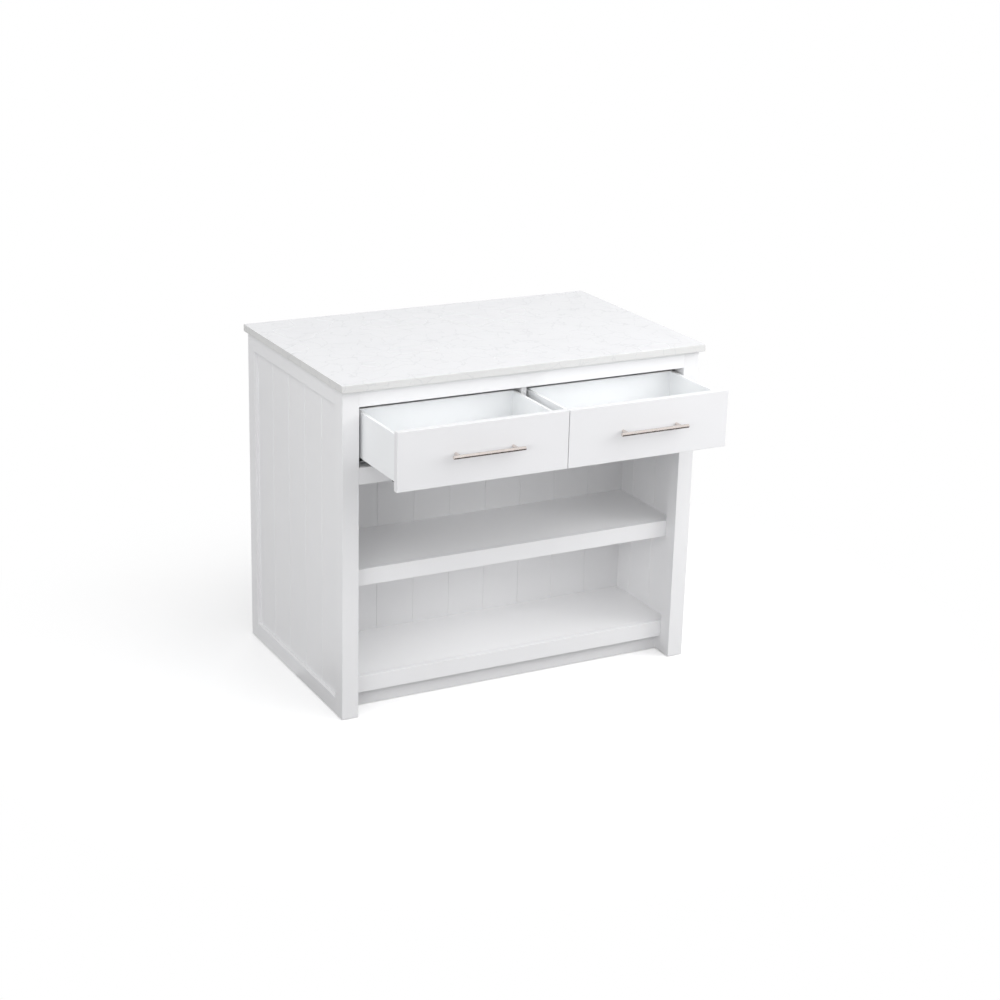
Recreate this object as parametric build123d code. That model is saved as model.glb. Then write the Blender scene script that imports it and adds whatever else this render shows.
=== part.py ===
from build123d import *
import os

# A kitchen island unit: a stone worktop on a painted frame-and-panel carcass, with two
# drawers over two open shelf bays in front, and a knee space behind a partition.
#
# Millimetres. +X is to the right when facing the drawers, +Y towards the back, +Z up.
# Pieces are laid out about the middle of the carcass, with the drawers shut. Saving a
# piece slides it along Y, so that the origin lies on the floor below the middle of the
# unit's whole box, and draws the drawers out to their rest opening.

os.makedirs("parts", exist_ok=True)

# ---- Driving dimensions: the whole unit ----
UNIT_HEIGHT = 914             # floor to worktop surface
BODY_WIDTH = 1050             # over the end frames
BODY_DEPTH = 642              # over the front and back posts
WORKTOP_THICKNESS = 20
WORKTOP_SIDE_OVERHANG = 8.5
WORKTOP_FRONT_OVERHANG = 18
WORKTOP_BACK_OVERHANG = 10
WORKTOP_ARRIS = 1.5           # rounding of the slab's edges
GLIDE_THICKNESS = 2           # plastic glide under each post
GLIDE_RADIUS = 15

# ---- Frame ----
POST = 46                     # square section of the corner posts
RAIL_HEIGHT = 45
RAIL_THICKNESS = 22
END_BOTTOM_RAIL_TOP = 48
DRAWER_OPENING_BOTTOM = 690
EASING = 1                    # rounding of the painted pieces' long edges
DOWEL_RADIUS = 4
DOWEL_LENGTH = 40             # half of it in each piece
DOWEL_SPREAD = 11             # each dowel of a pair above or below the rail's middle
BRACE_LEG = 80                # corner braces under the worktop
BATTEN = 20                   # square battens behind the partition
CLEAT = 18                    # square cleats under the shelves and the dust panel

# ---- Sheets and boards ----
SHEET = 12                    # end panels, partition and dust panel
BOARD = 18                    # shelves, shelf rails, toe kick and drawer fronts
PANEL_SETBACK = 10            # from a frame's face in to its panel
TONGUE = 8                    # depth of a panel's edge inside its frame
BEAD_PITCH = 111              # between the panels' upright grooves
BEAD_WIDTH = 3                # of a groove, which is half as deep
PARTITION_FRONT = 8           # partition's front face behind the carcass's middle
DIVIDER_THICKNESS = 15
DUST_PANEL_RABBET = 6         # the dust panel's seat in the drawer rail
MIDDLE_SHELF_TOP = 396
SHELF_RAIL_HEIGHT = 46
TOE_RECESS = 70               # toe kick behind the posts' front faces

# ---- Drawers ----
FRONT_GAP_SIDE = 2            # between a drawer front and its post
FRONT_GAP_CENTRE = 2          # between the two drawer fronts
FRONT_GAP_BELOW = 2
FRONT_GAP_ABOVE = 3.5
BOX_SIDE_CLEARANCE = 9        # between a drawer box and what is beside it
BOX_LENGTH = 250
BOX_WALL = 8
BOX_BOTTOM_EDGE = 711         # low enough to hide the slides
BOX_TOP_EDGE = 832
BOTTOM_RECESS = 22            # drawer bottom above the lower edge of the sides
BOTTOM_THICKNESS = 6
BOTTOM_TONGUE = 4             # depth of the bottom in the grooves around it
FRONT_SCREW_INSET = 45        # screws of the slab front, from the box's inner corners
FRONT_SCREW_BITE = 12         # how far they reach into the slab front
FRONT_SCREW_LOW = 762
FRONT_SCREW_HIGH = 808

HANDLE_LENGTH = 200
HANDLE_SPAN = 160             # between the two stand-offs
HANDLE_RADIUS = 5
HANDLE_REACH = 28             # middle of the bar in front of the drawer front
HANDLE_RISE = 4               # and above the middle of the drawer front
STAND_OFF_RADIUS = 4
HANDLE_SCREW_BITE = 8         # how far a handle's screw reaches into its stand-off

# ---- Slides, three members under each side of a drawer ----
FULL_TRAVEL = 250             # shut to fully extended
REST_OPENING = 220            # how far both drawers stand open at rest
STEEL = 1.5
OUTER_LIFT = 7                # the outer member's base above the dust panel
OUTER_FLANGE_TOP = 722
OUTER_BASE_WIDTH = 41.5       # its edge is the far upstand
OUTER_NEAR_UPSTAND = 18.5     # from the wall
UPSTAND_TOP = 701
MIDDLE_NEAR = 22              # the middle member's webs, measured from the wall
MIDDLE_FAR = 38
MIDDLE_LIFT = 1               # its webs above the outer member's base
MIDDLE_REAR_INSET = 2         # its rear end from the rear of the box
MIDDLE_BRIDGE = 714
MIDDLE_TOP = 728
INNER_NEAR = 19               # the inner member's legs, measured from the wall
INNER_FAR = 41
INNER_LEG_BOTTOM = 716
RUNNING_GAP = 0.3             # between the carriages and the members they run in
LOWER_CARRIAGE_LENGTH = 90
UPPER_CARRIAGE_LENGTH = 70
CLIP_LENGTH = 36
CLIP_WIDTH = 30
CLIP_BOTTOM = 702             # just below the box sides, and clear of the upstands
LEVER_LENGTH = 15             # the clip's release lever, towards the drawer's middle
LEVER_WIDTH = 18
LEVER_THICKNESS = 3
CLIP_GAP = 4                  # between the locking clip and the shut middle member
SLIDE_SCREW_HEIGHT = 713
SLIDE_SCREW_LENGTH = 8
SLIDE_SCREW_PLACES = (50, 125, 210)           # behind the front of the outer member
SCREW_RADIUS = 2

# ---- Worked out from them ----
SIDE = BODY_WIDTH / 2
FRONT = -BODY_DEPTH / 2
BACK = BODY_DEPTH / 2
BASE = GLIDE_THICKNESS
BODY_TOP = UNIT_HEIGHT - WORKTOP_THICKNESS
POST_INNER = SIDE - POST                      # inner faces of the posts and end rails
POST_REAR = FRONT + POST                      # rear faces of the front posts
TOP_RAIL_BOTTOM = BODY_TOP - RAIL_HEIGHT
RAIL_REAR = FRONT + RAIL_THICKNESS
PANEL_OUTER = SIDE - PANEL_SETBACK
WALL = PANEL_OUTER - SHEET                    # inner faces of the end panels
PARTITION_REAR = PARTITION_FRONT + SHEET
DUST_PANEL_BOTTOM = DRAWER_OPENING_BOTTOM - SHEET
BOTTOM_SHELF_TOP = END_BOTTOM_RAIL_TOP + SHELF_RAIL_HEIGHT
SHELF_BOARD_FRONT = POST_REAR + BOARD         # a shelf board starts behind its rail
WORKTOP_FRONT = FRONT - WORKTOP_FRONT_OVERHANG
WORKTOP_BACK = BACK + WORKTOP_BACK_OVERHANG

FRONT_REAR = FRONT + BOARD                    # rear face of a shut drawer front
FRONT_BOTTOM = DRAWER_OPENING_BOTTOM + FRONT_GAP_BELOW
FRONT_TOP = TOP_RAIL_BOTTOM - FRONT_GAP_ABOVE
FRONT_MIDDLE_X = -(POST_INNER - FRONT_GAP_SIDE + FRONT_GAP_CENTRE / 2) / 2
DIVIDER_FACE = -DIVIDER_THICKNESS / 2         # the divider's face towards the left drawer
BOX_OUTER = -POST_INNER + BOX_SIDE_CLEARANCE  # the left box, from the end of the unit ...
BOX_INNER = DIVIDER_FACE - BOX_SIDE_CLEARANCE  # ... to the divider
BOX_REAR = FRONT_REAR + BOX_LENGTH
BOX_FRONT_REAR = FRONT_REAR + BOX_WALL
BOTTOM_UNDERSIDE = BOX_BOTTOM_EDGE + BOTTOM_RECESS
BOTTOM_TOP = BOTTOM_UNDERSIDE + BOTTOM_THICKNESS

SLIDE_FRONT = RAIL_REAR                       # outer members, just behind the rail
SLIDE_REAR = SLIDE_FRONT + FULL_TRAVEL
CLIP_REAR = BOX_FRONT_REAR + CLIP_LENGTH
MIDDLE_FRONT = CLIP_REAR + CLIP_GAP
MIDDLE_REAR = BOX_REAR - MIDDLE_REAR_INSET
OUTER_BASE = DRAWER_OPENING_BOTTOM + OUTER_LIFT
OUTER_BASE_TOP = OUTER_BASE + STEEL
INNER_PLATE_UNDERSIDE = BOTTOM_UNDERSIDE - STEEL

HANDLE_Y = FRONT - HANDLE_REACH
HANDLE_Z = (FRONT_BOTTOM + FRONT_TOP) / 2 + HANDLE_RISE
FRONTMOST = HANDLE_Y - HANDLE_RADIUS - REST_OPENING
ORIGIN_Y = (FRONTMOST + WORKTOP_BACK) / 2


# ---- Helpers ----
def block(x, y, z):
    """A square board between two planes on each axis."""
    spans = (x, y, z)
    centre = [(low + high) / 2 for low, high in spans]
    return Pos(*centre) * Box(*[high - low for low, high in spans])


def eased(shape, axis, radius=EASING):
    """Round the edges that run along an axis."""
    return fillet(shape.edges().filter_by(axis), radius)


def both_ends(shape):
    """The shape and its mirror image at the other end of the unit."""
    return [shape, mirror(shape, about=Plane.YZ)]


def save(name, solids, drawn_out=0):
    """Write one node, moved to the unit's frame and drawn out towards the front."""
    solids = solids if isinstance(solids, list) else [solids]
    placed = [Pos(0, -ORIGIN_Y - drawn_out, 0) * solid for solid in solids]
    shape = placed[0] if len(placed) == 1 else Compound(children=placed)
    export_step(shape, f"parts/{name}.step")


def save_pair(name, solids, drawn_out=0):
    """Write a piece of the left half, or a group of them, and its mirror image on the right."""
    solids = solids if isinstance(solids, list) else [solids]
    save(f"left_{name}", solids, drawn_out)
    save(f"right_{name}", [mirror(solid, about=Plane.YZ) for solid in solids], drawn_out)


def pan_screw(seat, direction, length, radius=SCREW_RADIUS):
    """A pan-head screw: the head stands on the seat, the shank runs along direction."""
    below = (Align.CENTER, Align.CENTER, Align.MAX)
    above = (Align.CENTER, Align.CENTER, Align.MIN)
    head = Cylinder(2 * radius, radius, align=below)
    shank = Cylinder(radius, length, align=above)
    return Plane(origin=seat, z_dir=direction) * (head + shank)


# ---- Worktop and floor glides ----
def worktop():
    width = SIDE + WORKTOP_SIDE_OVERHANG
    slab = block((-width, width), (WORKTOP_FRONT, WORKTOP_BACK), (BODY_TOP, UNIT_HEIGHT))
    return fillet(slab.edges(), WORKTOP_ARRIS)


def floor_glides():
    """A round glide under the middle of each post."""
    glide = Cylinder(GLIDE_RADIUS, GLIDE_THICKNESS)
    reach_x = SIDE - POST / 2
    reach_y = BACK - POST / 2
    return [
        Pos(x, y, GLIDE_THICKNESS / 2) * glide
        for x in (-reach_x, reach_x)
        for y in (-reach_y, reach_y)
    ]


# ---- Dowels: a pair in each end of each rail, one above the other ----
def dowel_pair(x, y, z, turn):
    """Two dowels centred on a joint, along X (turn about Y) or along Y (turn about X)."""
    dowel = turn * Cylinder(DOWEL_RADIUS, DOWEL_LENGTH)
    return [Pos(x, y, z + rise) * dowel for rise in (-DOWEL_SPREAD, DOWEL_SPREAD)]


def frame_dowels():
    top_rail_z = BODY_TOP - RAIL_HEIGHT / 2
    drawer_rail_z = DRAWER_OPENING_BOTTOM - RAIL_HEIGHT / 2
    bottom_rail_z = (BASE + END_BOTTOM_RAIL_TOP) / 2
    rail_y = FRONT + RAIL_THICKNESS / 2
    inside_panel_x = POST_INNER + (WALL - POST_INNER) / 2
    dowels = []
    for x in (-POST_INNER, POST_INNER):
        for y, z in ((rail_y, top_rail_z), (rail_y, drawer_rail_z), (-rail_y, top_rail_z)):
            dowels += dowel_pair(x, y, z, Rot(0, 90, 0))
    for x in (-inside_panel_x, inside_panel_x):
        for y in (POST_REAR, -POST_REAR):
            for z in (top_rail_z, bottom_rail_z):
                dowels += dowel_pair(x, y, z, Rot(90, 0, 0))
    return dowels


DOWELS = frame_dowels()


# ---- Grooved panels ----
def bead_places(half_width):
    """Where the upright grooves lie across a panel, every pitch either side of its middle."""
    count = int((half_width + BEAD_PITCH / 2) // BEAD_PITCH)
    steps = [(i + 0.5) * BEAD_PITCH for i in range(count)]
    return [-step for step in reversed(steps)] + steps


def bead_cutter():
    """A square bar stood on edge, whose half cuts a V groove."""
    side = BEAD_WIDTH / 2 ** 0.5
    return Rot(0, 0, 45) * Box(side, side, 2 * UNIT_HEIGHT)


def left_end_panel_blank():
    """The end panel before its grooves, also used to cut its seat in the frame."""
    return block(
        (-PANEL_OUTER, -WALL),
        (POST_REAR - TONGUE, -POST_REAR + TONGUE),
        (END_BOTTOM_RAIL_TOP - TONGUE, TOP_RAIL_BOTTOM + TONGUE),
    )


def left_end_panel():
    cutters = [
        Pos(x, y, 0) * bead_cutter()
        for x in (-PANEL_OUTER, -WALL)
        for y in bead_places(-POST_REAR)
    ]
    return left_end_panel_blank() - cutters


def partition():
    """The grooved partition at mid-depth, notched round the end rails."""
    y = (PARTITION_FRONT, PARTITION_REAR)
    panel = block((-WALL, WALL), y, (END_BOTTOM_RAIL_TOP, TOP_RAIL_BOTTOM))
    panel += block((-POST_INNER, POST_INNER), y, (BASE, BODY_TOP))
    cutters = [Pos(x, face, 0) * bead_cutter() for face in y for x in bead_places(WALL)]
    return panel - cutters


# ---- Frame ----
def left_post(front):
    """A corner post with the seats of the end panel and of the dowels."""
    y = (FRONT, POST_REAR) if front else (-POST_REAR, BACK)
    post = eased(block((-SIDE, -POST_INNER), y, (BASE, BODY_TOP)), Axis.Z)
    return post - left_end_panel_blank() - DOWELS


def left_end_rail(z):
    rail = eased(block((-SIDE, -POST_INNER), (POST_REAR, -POST_REAR), z), Axis.Y)
    return rail - left_end_panel_blank() - DOWELS


def cross_rail(y, z):
    """A rail from post to post."""
    return eased(block((-POST_INNER, POST_INNER), y, z), Axis.X) - DOWELS


def dust_panel():
    """The sheet under the drawers, in a rabbet of the drawer rail and round the posts."""
    z = (DUST_PANEL_BOTTOM, DRAWER_OPENING_BOTTOM)
    panel = block((-POST_INNER, POST_INNER), (RAIL_REAR - DUST_PANEL_RABBET, PARTITION_FRONT), z)
    return panel + block((-WALL, WALL), (POST_REAR, PARTITION_FRONT), z)


def corner_braces():
    """A flat triangle in each corner under the worktop."""
    corner_y = RAIL_REAR
    outline = Polyline(
        (-POST_INNER, corner_y),
        (-POST_INNER + BRACE_LEG, corner_y),
        (-POST_INNER, corner_y + BRACE_LEG),
        close=True,
    )
    brace = Pos(0, 0, BODY_TOP - BOARD) * extrude(make_face(outline), BOARD)
    front_pair = both_ends(brace)
    return front_pair + [mirror(solid, about=Plane.XZ) for solid in front_pair]


# ---- Shelves, toe kick and what they rest on ----
def shelf(top):
    return block((-WALL, WALL), (SHELF_BOARD_FRONT, PARTITION_FRONT), (top - BOARD, top))


def shelf_rail(top):
    z = (top - SHELF_RAIL_HEIGHT, top)
    return eased(block((-WALL, WALL), (POST_REAR, SHELF_BOARD_FRONT), z), Axis.X)


def toe_kick():
    y = FRONT + TOE_RECESS
    z = (BASE, BOTTOM_SHELF_TOP - BOARD)
    return block((-POST_INNER, POST_INNER), (y, y + BOARD), z)


def cleats():
    """A cleat on each end panel under both shelves and under the dust panel."""
    solids = []
    for top in (BOTTOM_SHELF_TOP - BOARD, MIDDLE_SHELF_TOP - BOARD, DUST_PANEL_BOTTOM):
        y = (SHELF_BOARD_FRONT, PARTITION_FRONT)
        solids += both_ends(block((-WALL, -WALL + CLEAT), y, (top - CLEAT, top)))
    return solids


def partition_battens():
    y = (PARTITION_REAR, PARTITION_REAR + BATTEN)
    z = (END_BOTTOM_RAIL_TOP, TOP_RAIL_BOTTOM)
    return both_ends(block((-WALL, -WALL + BATTEN), y, z))


# ---- Slides. A wall is its face and which way the drawer lies from it. ----
END_WALL = (-POST_INNER, 1)
DIVIDER_WALL = (DIVIDER_FACE, -1)
WALLS = (END_WALL, DIVIDER_WALL)


def strip(wall, reach, y, z):
    """A block whose width is measured from a wall towards the drawer's middle."""
    face, way = wall
    return block(sorted(face + way * s for s in reach), y, z)


def slide_screws(wall):
    """Screws that hold an outer member to its wall."""
    face, way = wall
    seat = face + way * STEEL
    return [
        pan_screw((seat, SLIDE_FRONT + place, SLIDE_SCREW_HEIGHT), (-way, 0, 0), SLIDE_SCREW_LENGTH)
        for place in SLIDE_SCREW_PLACES
    ]


def slide_outer(wall):
    """The fixed member: a flange on the wall, a base, and two upstands round the middle."""
    y = (SLIDE_FRONT, SLIDE_REAR)
    member = strip(wall, (0, STEEL), y, (OUTER_BASE, OUTER_FLANGE_TOP))
    member += strip(wall, (0, OUTER_BASE_WIDTH), y, (OUTER_BASE, OUTER_BASE_TOP))
    for near in (OUTER_NEAR_UPSTAND, OUTER_BASE_WIDTH - STEEL):
        member += strip(wall, (near, near + STEEL), y, (OUTER_BASE, UPSTAND_TOP))
    return member - slide_screws(wall)


def slide_middle(wall):
    """The member between: two webs and a bridge, an H on end."""
    y = (MIDDLE_FRONT, MIDDLE_REAR)
    bottom = OUTER_BASE_TOP + MIDDLE_LIFT
    member = strip(wall, (MIDDLE_NEAR, MIDDLE_FAR), y, (MIDDLE_BRIDGE, MIDDLE_BRIDGE + STEEL))
    for web in (MIDDLE_NEAR, MIDDLE_FAR - STEEL):
        member += strip(wall, (web, web + STEEL), y, (bottom, MIDDLE_TOP))
    return member


def slide_inner(wall):
    """The member under the drawer bottom: a plate and two legs outside the middle's webs."""
    y = (CLIP_REAR, BOX_REAR)
    member = strip(wall, (INNER_NEAR, INNER_FAR), y, (INNER_PLATE_UNDERSIDE, BOTTOM_UNDERSIDE))
    for leg in (INNER_NEAR, INNER_FAR - STEEL):
        member += strip(wall, (leg, leg + STEEL), y, (INNER_LEG_BOTTOM, BOTTOM_UNDERSIDE))
    return member


def slide_carriages(wall):
    """Roller carriages in the middle member: the lower runs in the outer, the upper in the inner."""
    reach = (MIDDLE_NEAR + STEEL, MIDDLE_FAR - STEEL)
    lower_y = (MIDDLE_REAR - LOWER_CARRIAGE_LENGTH, MIDDLE_REAR)
    upper_y = (MIDDLE_FRONT, MIDDLE_FRONT + UPPER_CARRIAGE_LENGTH)
    lower = strip(wall, reach, lower_y, (OUTER_BASE_TOP + RUNNING_GAP, MIDDLE_BRIDGE))
    upper_z = (MIDDLE_BRIDGE + STEEL, INNER_PLATE_UNDERSIDE - RUNNING_GAP)
    return [lower, strip(wall, reach, upper_y, upper_z)]


def locking_clip(wall):
    """The clip that ties the drawer to its slide, with its release lever."""
    near = BOX_SIDE_CLEARANCE + BOX_WALL
    y = (BOX_FRONT_REAR, CLIP_REAR)
    body = strip(wall, (near, near + CLIP_WIDTH), y, (CLIP_BOTTOM, BOTTOM_UNDERSIDE))
    reach = (near + CLIP_WIDTH, near + CLIP_WIDTH + LEVER_LENGTH)
    lever_y = (BOX_FRONT_REAR, BOX_FRONT_REAR + LEVER_WIDTH)
    return body + strip(wall, reach, lever_y, (CLIP_BOTTOM, CLIP_BOTTOM + LEVER_THICKNESS))


def slide_spacer():
    """Packs the end panel out to the post's inner face, where the outer member is fixed."""
    z = (DRAWER_OPENING_BOTTOM, DRAWER_OPENING_BOTTOM + RAIL_HEIGHT)
    spacer = block((-WALL, -POST_INNER), (POST_REAR, SLIDE_REAR), z)
    return spacer - slide_screws(END_WALL)


def drawer_divider():
    y = (RAIL_REAR, PARTITION_FRONT)
    board = block((DIVIDER_FACE, -DIVIDER_FACE), y, (DRAWER_OPENING_BOTTOM, BODY_TOP))
    screws = slide_screws(DIVIDER_WALL)
    return board - screws - [mirror(screw, about=Plane.YZ) for screw in screws]


# ---- The left drawer, shut ----
def handle_places():
    return [FRONT_MIDDLE_X - HANDLE_SPAN / 2, FRONT_MIDDLE_X + HANDLE_SPAN / 2]


def handle_screws():
    """Through the box front and the slab front, into the stand-offs."""
    length = BOX_WALL + BOARD + HANDLE_SCREW_BITE
    return [
        pan_screw((x, BOX_FRONT_REAR, HANDLE_Z), (0, -1, 0), length)
        for x in handle_places()
    ]


def front_screws():
    """Through the box front, into the slab front."""
    length = BOX_WALL + FRONT_SCREW_BITE
    left = BOX_OUTER + BOX_WALL + FRONT_SCREW_INSET
    right = BOX_INNER - BOX_WALL - FRONT_SCREW_INSET
    return [
        pan_screw((x, BOX_FRONT_REAR, z), (0, -1, 0), length)
        for x in (left, right)
        for z in (FRONT_SCREW_LOW, FRONT_SCREW_HIGH)
    ]


def drawer_front():
    left = -POST_INNER + FRONT_GAP_SIDE
    slab = block((left, -FRONT_GAP_CENTRE / 2), (FRONT, FRONT_REAR), (FRONT_BOTTOM, FRONT_TOP))
    return fillet(slab.edges(), EASING) - handle_screws() - front_screws()


def drawer_bottom():
    x = (BOX_OUTER + BOX_WALL - BOTTOM_TONGUE, BOX_INNER - BOX_WALL + BOTTOM_TONGUE)
    y = (BOX_FRONT_REAR - BOTTOM_TONGUE, BOX_REAR)
    return block(x, y, (BOTTOM_UNDERSIDE, BOTTOM_TOP))


def box_side(x):
    """A side with the bottom's groove right along it."""
    y = (FRONT_REAR, BOX_REAR)
    side = eased(block(x, y, (BOX_BOTTOM_EDGE, BOX_TOP_EDGE)), Axis.Y)
    return side - drawer_bottom()


def box_front():
    x = (BOX_OUTER + BOX_WALL, BOX_INNER - BOX_WALL)
    board = block(x, (FRONT_REAR, BOX_FRONT_REAR), (BOX_BOTTOM_EDGE, BOX_TOP_EDGE))
    return eased(board, Axis.X) - drawer_bottom() - handle_screws() - front_screws()


def box_back():
    """The back stands on the bottom."""
    x = (BOX_OUTER + BOX_WALL, BOX_INNER - BOX_WALL)
    return eased(block(x, (BOX_REAR - BOX_WALL, BOX_REAR), (BOTTOM_TOP, BOX_TOP_EDGE)), Axis.X)


def handle_bar():
    bar = Rot(0, 90, 0) * Cylinder(HANDLE_RADIUS, HANDLE_LENGTH)
    bar = chamfer(bar.edges(), EASING / 2)
    return Pos(FRONT_MIDDLE_X, HANDLE_Y, HANDLE_Z) * bar


def handle_stand_offs():
    """Two round legs, hollowed to seat the bar and bored for their screws."""
    leg = Rot(90, 0, 0) * Cylinder(STAND_OFF_RADIUS, HANDLE_REACH)
    y = FRONT - HANDLE_REACH / 2
    legs = [Pos(x, y, HANDLE_Z) * leg for x in handle_places()]
    return [piece - handle_bar() - handle_screws() for piece in legs]


# ---- Write the carcass ----
save("worktop", worktop())
save("floor_glides", floor_glides())
save("frame_dowels", DOWELS)
save_pair("front_post", left_post(front=True))
save_pair("rear_post", left_post(front=False))
save_pair("end_top_rail", left_end_rail((TOP_RAIL_BOTTOM, BODY_TOP)))
save_pair("end_bottom_rail", left_end_rail((BASE, END_BOTTOM_RAIL_TOP)))
save_pair("end_panel", left_end_panel())
save("front_top_rail", cross_rail((FRONT, RAIL_REAR), (TOP_RAIL_BOTTOM, BODY_TOP)))
save("rear_top_rail", cross_rail((-RAIL_REAR, BACK), (TOP_RAIL_BOTTOM, BODY_TOP)))
DRAWER_RAIL_Z = (DRAWER_OPENING_BOTTOM - RAIL_HEIGHT, DRAWER_OPENING_BOTTOM)
save("drawer_rail", cross_rail((FRONT, RAIL_REAR), DRAWER_RAIL_Z) - dust_panel())
save("corner_braces", corner_braces())
save("partition", partition())
save("partition_battens", partition_battens())
save("drawer_divider", drawer_divider())
save("dust_panel", dust_panel())
save("middle_shelf", shelf(MIDDLE_SHELF_TOP))
save("middle_shelf_rail", shelf_rail(MIDDLE_SHELF_TOP))
save("bottom_shelf", shelf(BOTTOM_SHELF_TOP))
save("bottom_shelf_rail", shelf_rail(BOTTOM_SHELF_TOP))
save("toe_kick", toe_kick())
save("shelf_cleats", cleats())
save("slide_spacers", both_ends(slide_spacer()))
all_slide_screws = slide_screws(END_WALL) + slide_screws(DIVIDER_WALL)
save("slide_screws", [copy for screw in all_slide_screws for copy in both_ends(screw)])

# ---- Write the drawers and their slides ----
# The middle members of the slides move half as far as their drawer.
MIDDLE_OPENING = REST_OPENING / 2
carriages = slide_carriages(END_WALL) + slide_carriages(DIVIDER_WALL)
save_pair("drawer_slide_outers", [slide_outer(wall) for wall in WALLS])
save_pair("drawer_slide_middles", [slide_middle(wall) for wall in WALLS], MIDDLE_OPENING)
save_pair("drawer_slide_carriages", carriages, MIDDLE_OPENING)
save_pair("drawer_slide_inners", [slide_inner(wall) for wall in WALLS], REST_OPENING)
save_pair("drawer_slide_clips", [locking_clip(wall) for wall in WALLS], REST_OPENING)
save_pair("drawer_front", drawer_front(), REST_OPENING)
save_pair("drawer_front_screws", front_screws(), REST_OPENING)
save_pair("drawer_box_front", box_front(), REST_OPENING)
save_pair("drawer_box_outer_side", box_side((BOX_OUTER, BOX_OUTER + BOX_WALL)), REST_OPENING)
save_pair("drawer_box_inner_side", box_side((BOX_INNER - BOX_WALL, BOX_INNER)), REST_OPENING)
save_pair("drawer_box_back", box_back(), REST_OPENING)
save_pair("drawer_bottom", drawer_bottom(), REST_OPENING)
save_pair("drawer_handle_bar", handle_bar(), REST_OPENING)
save_pair("drawer_handle_stand_offs", handle_stand_offs(), REST_OPENING)
save_pair("drawer_handle_screws", handle_screws(), REST_OPENING)

print("nodes written:", len([name for name in os.listdir("parts") if name.endswith(".step")]))
print("middle of the carcass in the unit's frame, y =", -ORIGIN_Y)
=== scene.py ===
# %% [markdown]
# # A white kitchen island
#
# The measured model arrives with every board, rail, slide and screw at its real size and
# place. This notebook dresses it: paint on the boards, stone on the worktop, metal on the
# handles and slides. Where a piece is known by its small shapes, such as a beaded board
# or the cross in a screw's head, a finer mesh takes its place. Lengths are in metres, +X
# is to the right when facing the drawers, +Y is towards the back, and +Z is up.

# %% Load the measured model
import math

import bmesh
import bpy
from mathutils import Euler, Matrix, Vector


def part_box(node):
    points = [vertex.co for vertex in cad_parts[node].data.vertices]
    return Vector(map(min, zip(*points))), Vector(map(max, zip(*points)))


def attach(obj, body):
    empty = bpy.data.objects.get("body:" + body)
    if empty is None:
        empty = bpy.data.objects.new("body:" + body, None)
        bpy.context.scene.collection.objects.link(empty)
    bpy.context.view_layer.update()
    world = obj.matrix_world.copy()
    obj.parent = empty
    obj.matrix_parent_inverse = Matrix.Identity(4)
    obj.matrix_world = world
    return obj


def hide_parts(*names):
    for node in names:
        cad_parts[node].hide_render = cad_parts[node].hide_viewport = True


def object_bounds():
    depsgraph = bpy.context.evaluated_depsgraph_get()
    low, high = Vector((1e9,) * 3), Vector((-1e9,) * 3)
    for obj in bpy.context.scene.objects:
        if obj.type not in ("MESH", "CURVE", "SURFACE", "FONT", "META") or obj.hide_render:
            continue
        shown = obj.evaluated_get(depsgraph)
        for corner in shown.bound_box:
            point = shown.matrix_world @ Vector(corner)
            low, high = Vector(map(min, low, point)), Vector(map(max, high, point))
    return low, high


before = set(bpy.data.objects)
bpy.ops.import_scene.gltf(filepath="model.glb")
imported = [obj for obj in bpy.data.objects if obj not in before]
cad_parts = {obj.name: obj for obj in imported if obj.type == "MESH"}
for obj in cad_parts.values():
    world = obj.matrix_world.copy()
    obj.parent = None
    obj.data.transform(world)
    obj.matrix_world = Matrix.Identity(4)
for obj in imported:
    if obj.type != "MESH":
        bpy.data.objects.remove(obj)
CAD_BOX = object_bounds()
print("pieces in the measured model:", len(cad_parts))

# %% [markdown]
# ## Where things are
#
# The model's own boxes say where everything stands, so nothing below repeats a
# measurement that the boards can give. The carcass lies behind the middle of the whole
# model, because the drawers stand open towards the front.

# %% Measure the carcass
UNIT_HEIGHT = CAD_BOX[1].z
POST_LOW, POST_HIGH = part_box("left_front_post")
CARCASS_Y = (POST_LOW.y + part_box("right_rear_post")[1].y) / 2
MILLIMETRE = 0.001
print("middle of the carcass, y =", round(CARCASS_Y, 4))

# %% [markdown]
# ## The camera
#
# A long lens keeps the uprights nearly parallel, as in a catalogue. It looks down a
# little from the left, so that the end frame, the open drawers and both shelf bays all
# show. The camera's matrix is written out from its three angles: azimuth round the unit,
# elevation above it, and the small roll of a camera held by hand.

# %% Camera: a long lens from the left front
CAMERA_AIM = Vector((0.0989, CARCASS_Y, 0.422))
CAMERA_DISTANCE = 5.7596
CAMERA_AZIMUTH = math.radians(-28.31)
CAMERA_ELEVATION = math.radians(19.12)
CAMERA_ROLL = math.radians(1.54)
CAMERA_LENS = 73.64


def camera_matrix():
    """The camera's right, up and backward directions as columns, with its place."""
    level = math.cos(CAMERA_ELEVATION)
    back = Vector((
        math.sin(CAMERA_AZIMUTH) * level,
        -math.cos(CAMERA_AZIMUTH) * level,
        math.sin(CAMERA_ELEVATION),
    ))
    right = Vector((0, 0, 1)).cross(back).normalized()
    up = back.cross(right)
    turned = Matrix.Rotation(CAMERA_ROLL, 3, back) @ Matrix((right, up, back)).transposed()
    return Matrix.Translation(CAMERA_AIM + CAMERA_DISTANCE * back) @ turned.to_4x4()


camera_data = bpy.data.cameras.new("catalogue_camera")
camera_data.lens = CAMERA_LENS
camera = bpy.data.objects.new("catalogue_camera", camera_data)
camera.matrix_world = camera_matrix()
bpy.context.scene.collection.objects.link(camera)
bpy.context.scene.camera = camera
print("camera stands at", [round(value, 3) for value in camera.matrix_world.translation])

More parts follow.
